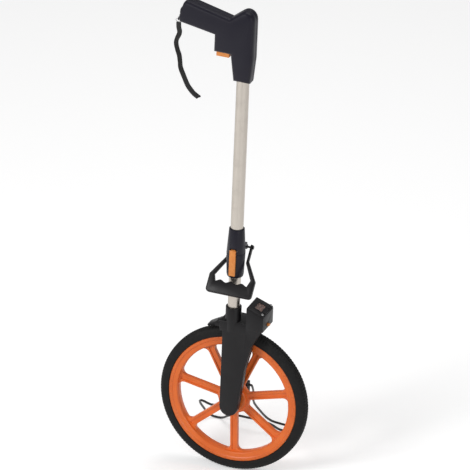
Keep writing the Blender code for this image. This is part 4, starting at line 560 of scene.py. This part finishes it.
def strap_layers(per_leg):
    """The two layers as (place, turn) pairs, and the fold that joins them."""
    spots = smooth_route([Vector(p) for p, _ in STRAP_ROUTE], per_leg)
    turns = smooth_route([Vector((math.radians(t), 0.0, 0.0)) for _, t in STRAP_ROUTE], per_leg)
    apart = (STRAP_THICKNESS + STRAP_LAYER_GAP) / 2.0
    down, up = [], []
    for at, (spot, turn) in enumerate(zip(spots, turns)):
        along = (spots[min(at + 1, len(spots) - 1)] - spots[max(at - 1, 0)]).normalized()
        across = Vector((math.cos(turn.x), math.sin(turn.x), 0.0))
        across = (across - along * across.dot(along)).normalized()
        out = along.cross(across)
        down.append((spot + out * apart, turn.x))
        up.append((spot - out * apart, turn.x))
    last = down[-1][0] - up[-1][0]
    along = (down[-1][0] - down[-2][0]).normalized()
    middle = (down[-1][0] + up[-1][0]) / 2.0
    fold = []
    for at in range(1, 8):
        angle = math.pi * at / 8.0
        fold.append((middle + last / 2.0 * math.cos(angle)
                     + along * (last.length / 2.0) * math.sin(angle), down[-1][1]))
    return down + fold + list(reversed(up))


def wrist_strap(material):
    """Two layers of webbing down from the ring and back, with rolled edges."""
    start = WHEEL @ Vector(STRAP_BAR) - Vector((0.0, 0.0, STRAP_DROP))
    route = strap_layers(6)
    half, thick = STRAP_WIDTH / 2.0, STRAP_THICKNESS / 2.0
    section = [
        (-half, 0.0), (-half + 0.0003, -thick * 0.75), (-half + 0.0010, -thick), (0.0, -thick * 0.94),
        (half - 0.0010, -thick), (half - 0.0003, -thick * 0.75), (half, 0.0),
        (half - 0.0003, thick * 0.75), (half - 0.0010, thick), (0.0, thick * 0.94),
        (-half + 0.0010, thick), (-half + 0.0003, thick * 0.75),
    ]
    bm = bmesh.new()
    layer = bm.loops.layers.uv.new("along")
    rows, lengths, run = [], [], 0.0
    for at, (spot, turn) in enumerate(route):
        before, after = route[max(at - 1, 0)][0], route[min(at + 1, len(route) - 1)][0]
        along = (after - before).normalized()
        across = Vector((math.cos(turn), math.sin(turn), 0.0))
        across = (across - along * across.dot(along)).normalized()
        out = along.cross(across)
        run += (spot - route[max(at - 1, 0)][0]).length
        lengths.append(run)
        rows.append([bm.verts.new(start + spot + across * a + out * b) for a, b in section])
    count = len(section)
    for at in range(len(rows) - 1):
        for spot in range(count):
            far = (spot + 1) % count
            face = bm.faces.new((rows[at][spot], rows[at][far], rows[at + 1][far], rows[at + 1][spot]))
            marks = ((section[spot][0], at), (section[far][0], at),
                     (section[far][0], at + 1), (section[spot][0], at + 1))
            for loop, (side, row) in zip(face.loops, marks):
                loop[layer].uv = (side / STRAP_WIDTH + 0.5, lengths[row])
    bm.faces.new(rows[0])
    bm.faces.new(list(reversed(rows[-1])))
    piece = new_piece("strap_webbing", bm)
    smooth(piece, 50.0)
    settle(piece, "strap", material, "webbing", "wrist_strap")
    return piece


# Light, floor and camera

def white_floor():
    """A pale floor that the camera sees as white, with the shadow left in it."""
    deselect()
    bpy.ops.mesh.primitive_plane_add(size=40.0, location=(0.0, 0.0, -0.0002))
    floor = bpy.context.object
    floor.name = "studio_floor"
    material, shader = new_material("studio_floor", (0.8, 0.8, 0.8), 0.9)
    rays = node(material, "ShaderNodeLightPath")
    seen = sums(material, "MAXIMUM", rays.outputs["Is Camera Ray"],
                sums(material, "MAXIMUM", rays.outputs["Is Glossy Ray"],
                     rays.outputs["Is Transmission Ray"]))
    link(material, mix(material, seen, (0.62, 0.62, 0.62), (0.90, 0.90, 0.90)),
         shader.inputs["Base Color"])
    shader.inputs["Specular IOR Level"].default_value = 0.0
    shader.inputs["Emission Color"].default_value = (1.0, 1.0, 1.0, 1.0)
    link(material, sums(material, "MULTIPLY", seen, 0.30), shader.inputs["Emission Strength"])
    floor.data.materials.append(material)


def white_world(strength):
    world = bpy.data.worlds.new("studio_room")
    bpy.context.scene.world = world
    world.use_nodes = True
    tree = world.node_tree
    back = tree.nodes["Background"]
    back.inputs["Color"].default_value = (1.0, 1.0, 1.0, 1.0)
    rays = tree.nodes.new("ShaderNodeLightPath")
    seen = tree.nodes.new("ShaderNodeMapRange")
    seen.inputs["To Min"].default_value = strength
    seen.inputs["To Max"].default_value = 1.0
    tree.links.new(rays.outputs["Is Camera Ray"], seen.inputs["Value"])
    tree.links.new(seen.outputs["Result"], back.inputs["Strength"])


def softbox(name, place, aim, width, height, power):
    deselect()
    bpy.ops.object.light_add(type="AREA", location=place)
    lamp = bpy.context.object
    lamp.name = name
    lamp.data.shape = "RECTANGLE"
    lamp.data.size = width
    lamp.data.size_y = height
    lamp.data.energy = power
    lamp.rotation_euler = (Vector(aim) - Vector(place)).to_track_quat("-Z", "Y").to_euler()


def studio_light():
    white_world(ROOM_STRENGTH)
    for name, place, width, height, power in SOFTBOXES:
        softbox(name, place, MIDDLE, width, height, power)


def photo_camera():
    """The photograph's view: right of straight on and from well above, from far away."""
    deselect()
    bpy.ops.object.camera_add(rotation=(math.pi / 2.0 - ELEVATION, 0.0, AZIMUTH))
    camera = bpy.context.object
    camera.name = "photo_camera"
    turn = camera.rotation_euler.to_matrix()
    aim = Vector((0.0, AXLE_Y, AXLE_Z)) + turn @ Vector((AIM_RIGHT, AIM_UP, 0.0))
    camera.location = aim + turn @ Vector((0.0, 0.0, DISTANCE))
    camera.data.lens = SENSOR_WIDTH * DISTANCE / FRAME_WIDTH
    camera.data.sensor_width = SENSOR_WIDTH
    camera.data.clip_end = 5.0 * DISTANCE
    bpy.context.scene.camera = camera


def dress_solids():
    """Every solid that keeps its own form, with its finish and the rounding of its edges."""
    black, navy = black_plastic(), navy_plastic()
    steel, brass = zinc_steel(), bush_brass()
    plans = [
        (black, 0.0004, ("fork_leg", "leg_cover", "counter_lid", "stand_bracket", "brake_shoe",
                         "carry_handle")),
        (black, 0.0, ("hub_pulley", "counter_pulley")),
        (navy, 0.0004, ("grip_near", "grip_far", "upper_joint", "lower_joint")),
        (rim_orange(), 0.0003, ("wheel_rim",)),
        (pale_orange(), 0.0003, ("trigger", "latch_lever", "reset_lever")),
        (plain_rubber(), 0.0, ("drive_belt", "brake_pad")),
        (aluminium(), 0.0, ("upper_tube", "lower_tube")),
        (steel, 0.0, ("axle", "axle_washer", "axle_nut", "counter_shaft", "lower_rod", "upper_rod",
                      "latch_pin", "trigger_pin", "reset_pin", "strap_ring", "leg_screw_1",
                      "leg_screw_2", "leg_screw_3", "leg_screw_4", "lid_screw_1", "lid_screw_2",
                      "grip_screw_1", "grip_screw_2", "grip_screw_3")),
        (blackened_steel(), 0.0, ("hinge_pin",)),
        (black_wire(), 0.0, ("kickstand",)),
        (brass, 0.0, ("bush_near", "bush_far")),
        (drum_plastic(), 0.0, tuple("digit_drum_%d" % at for at in range(1, 6))),
        (smoked_window(), 0.0, ("counter_window",)),
    ]
    for material, edge, names in plans:
        for name in names:
            finished(name, material, edge)


photo_camera()
wrist_strap(webbing())
tyre_tread(tyre_rubber())
dress_solids()
white_floor()
studio_light()
bpy.context.scene.view_settings.view_transform = "Standard"
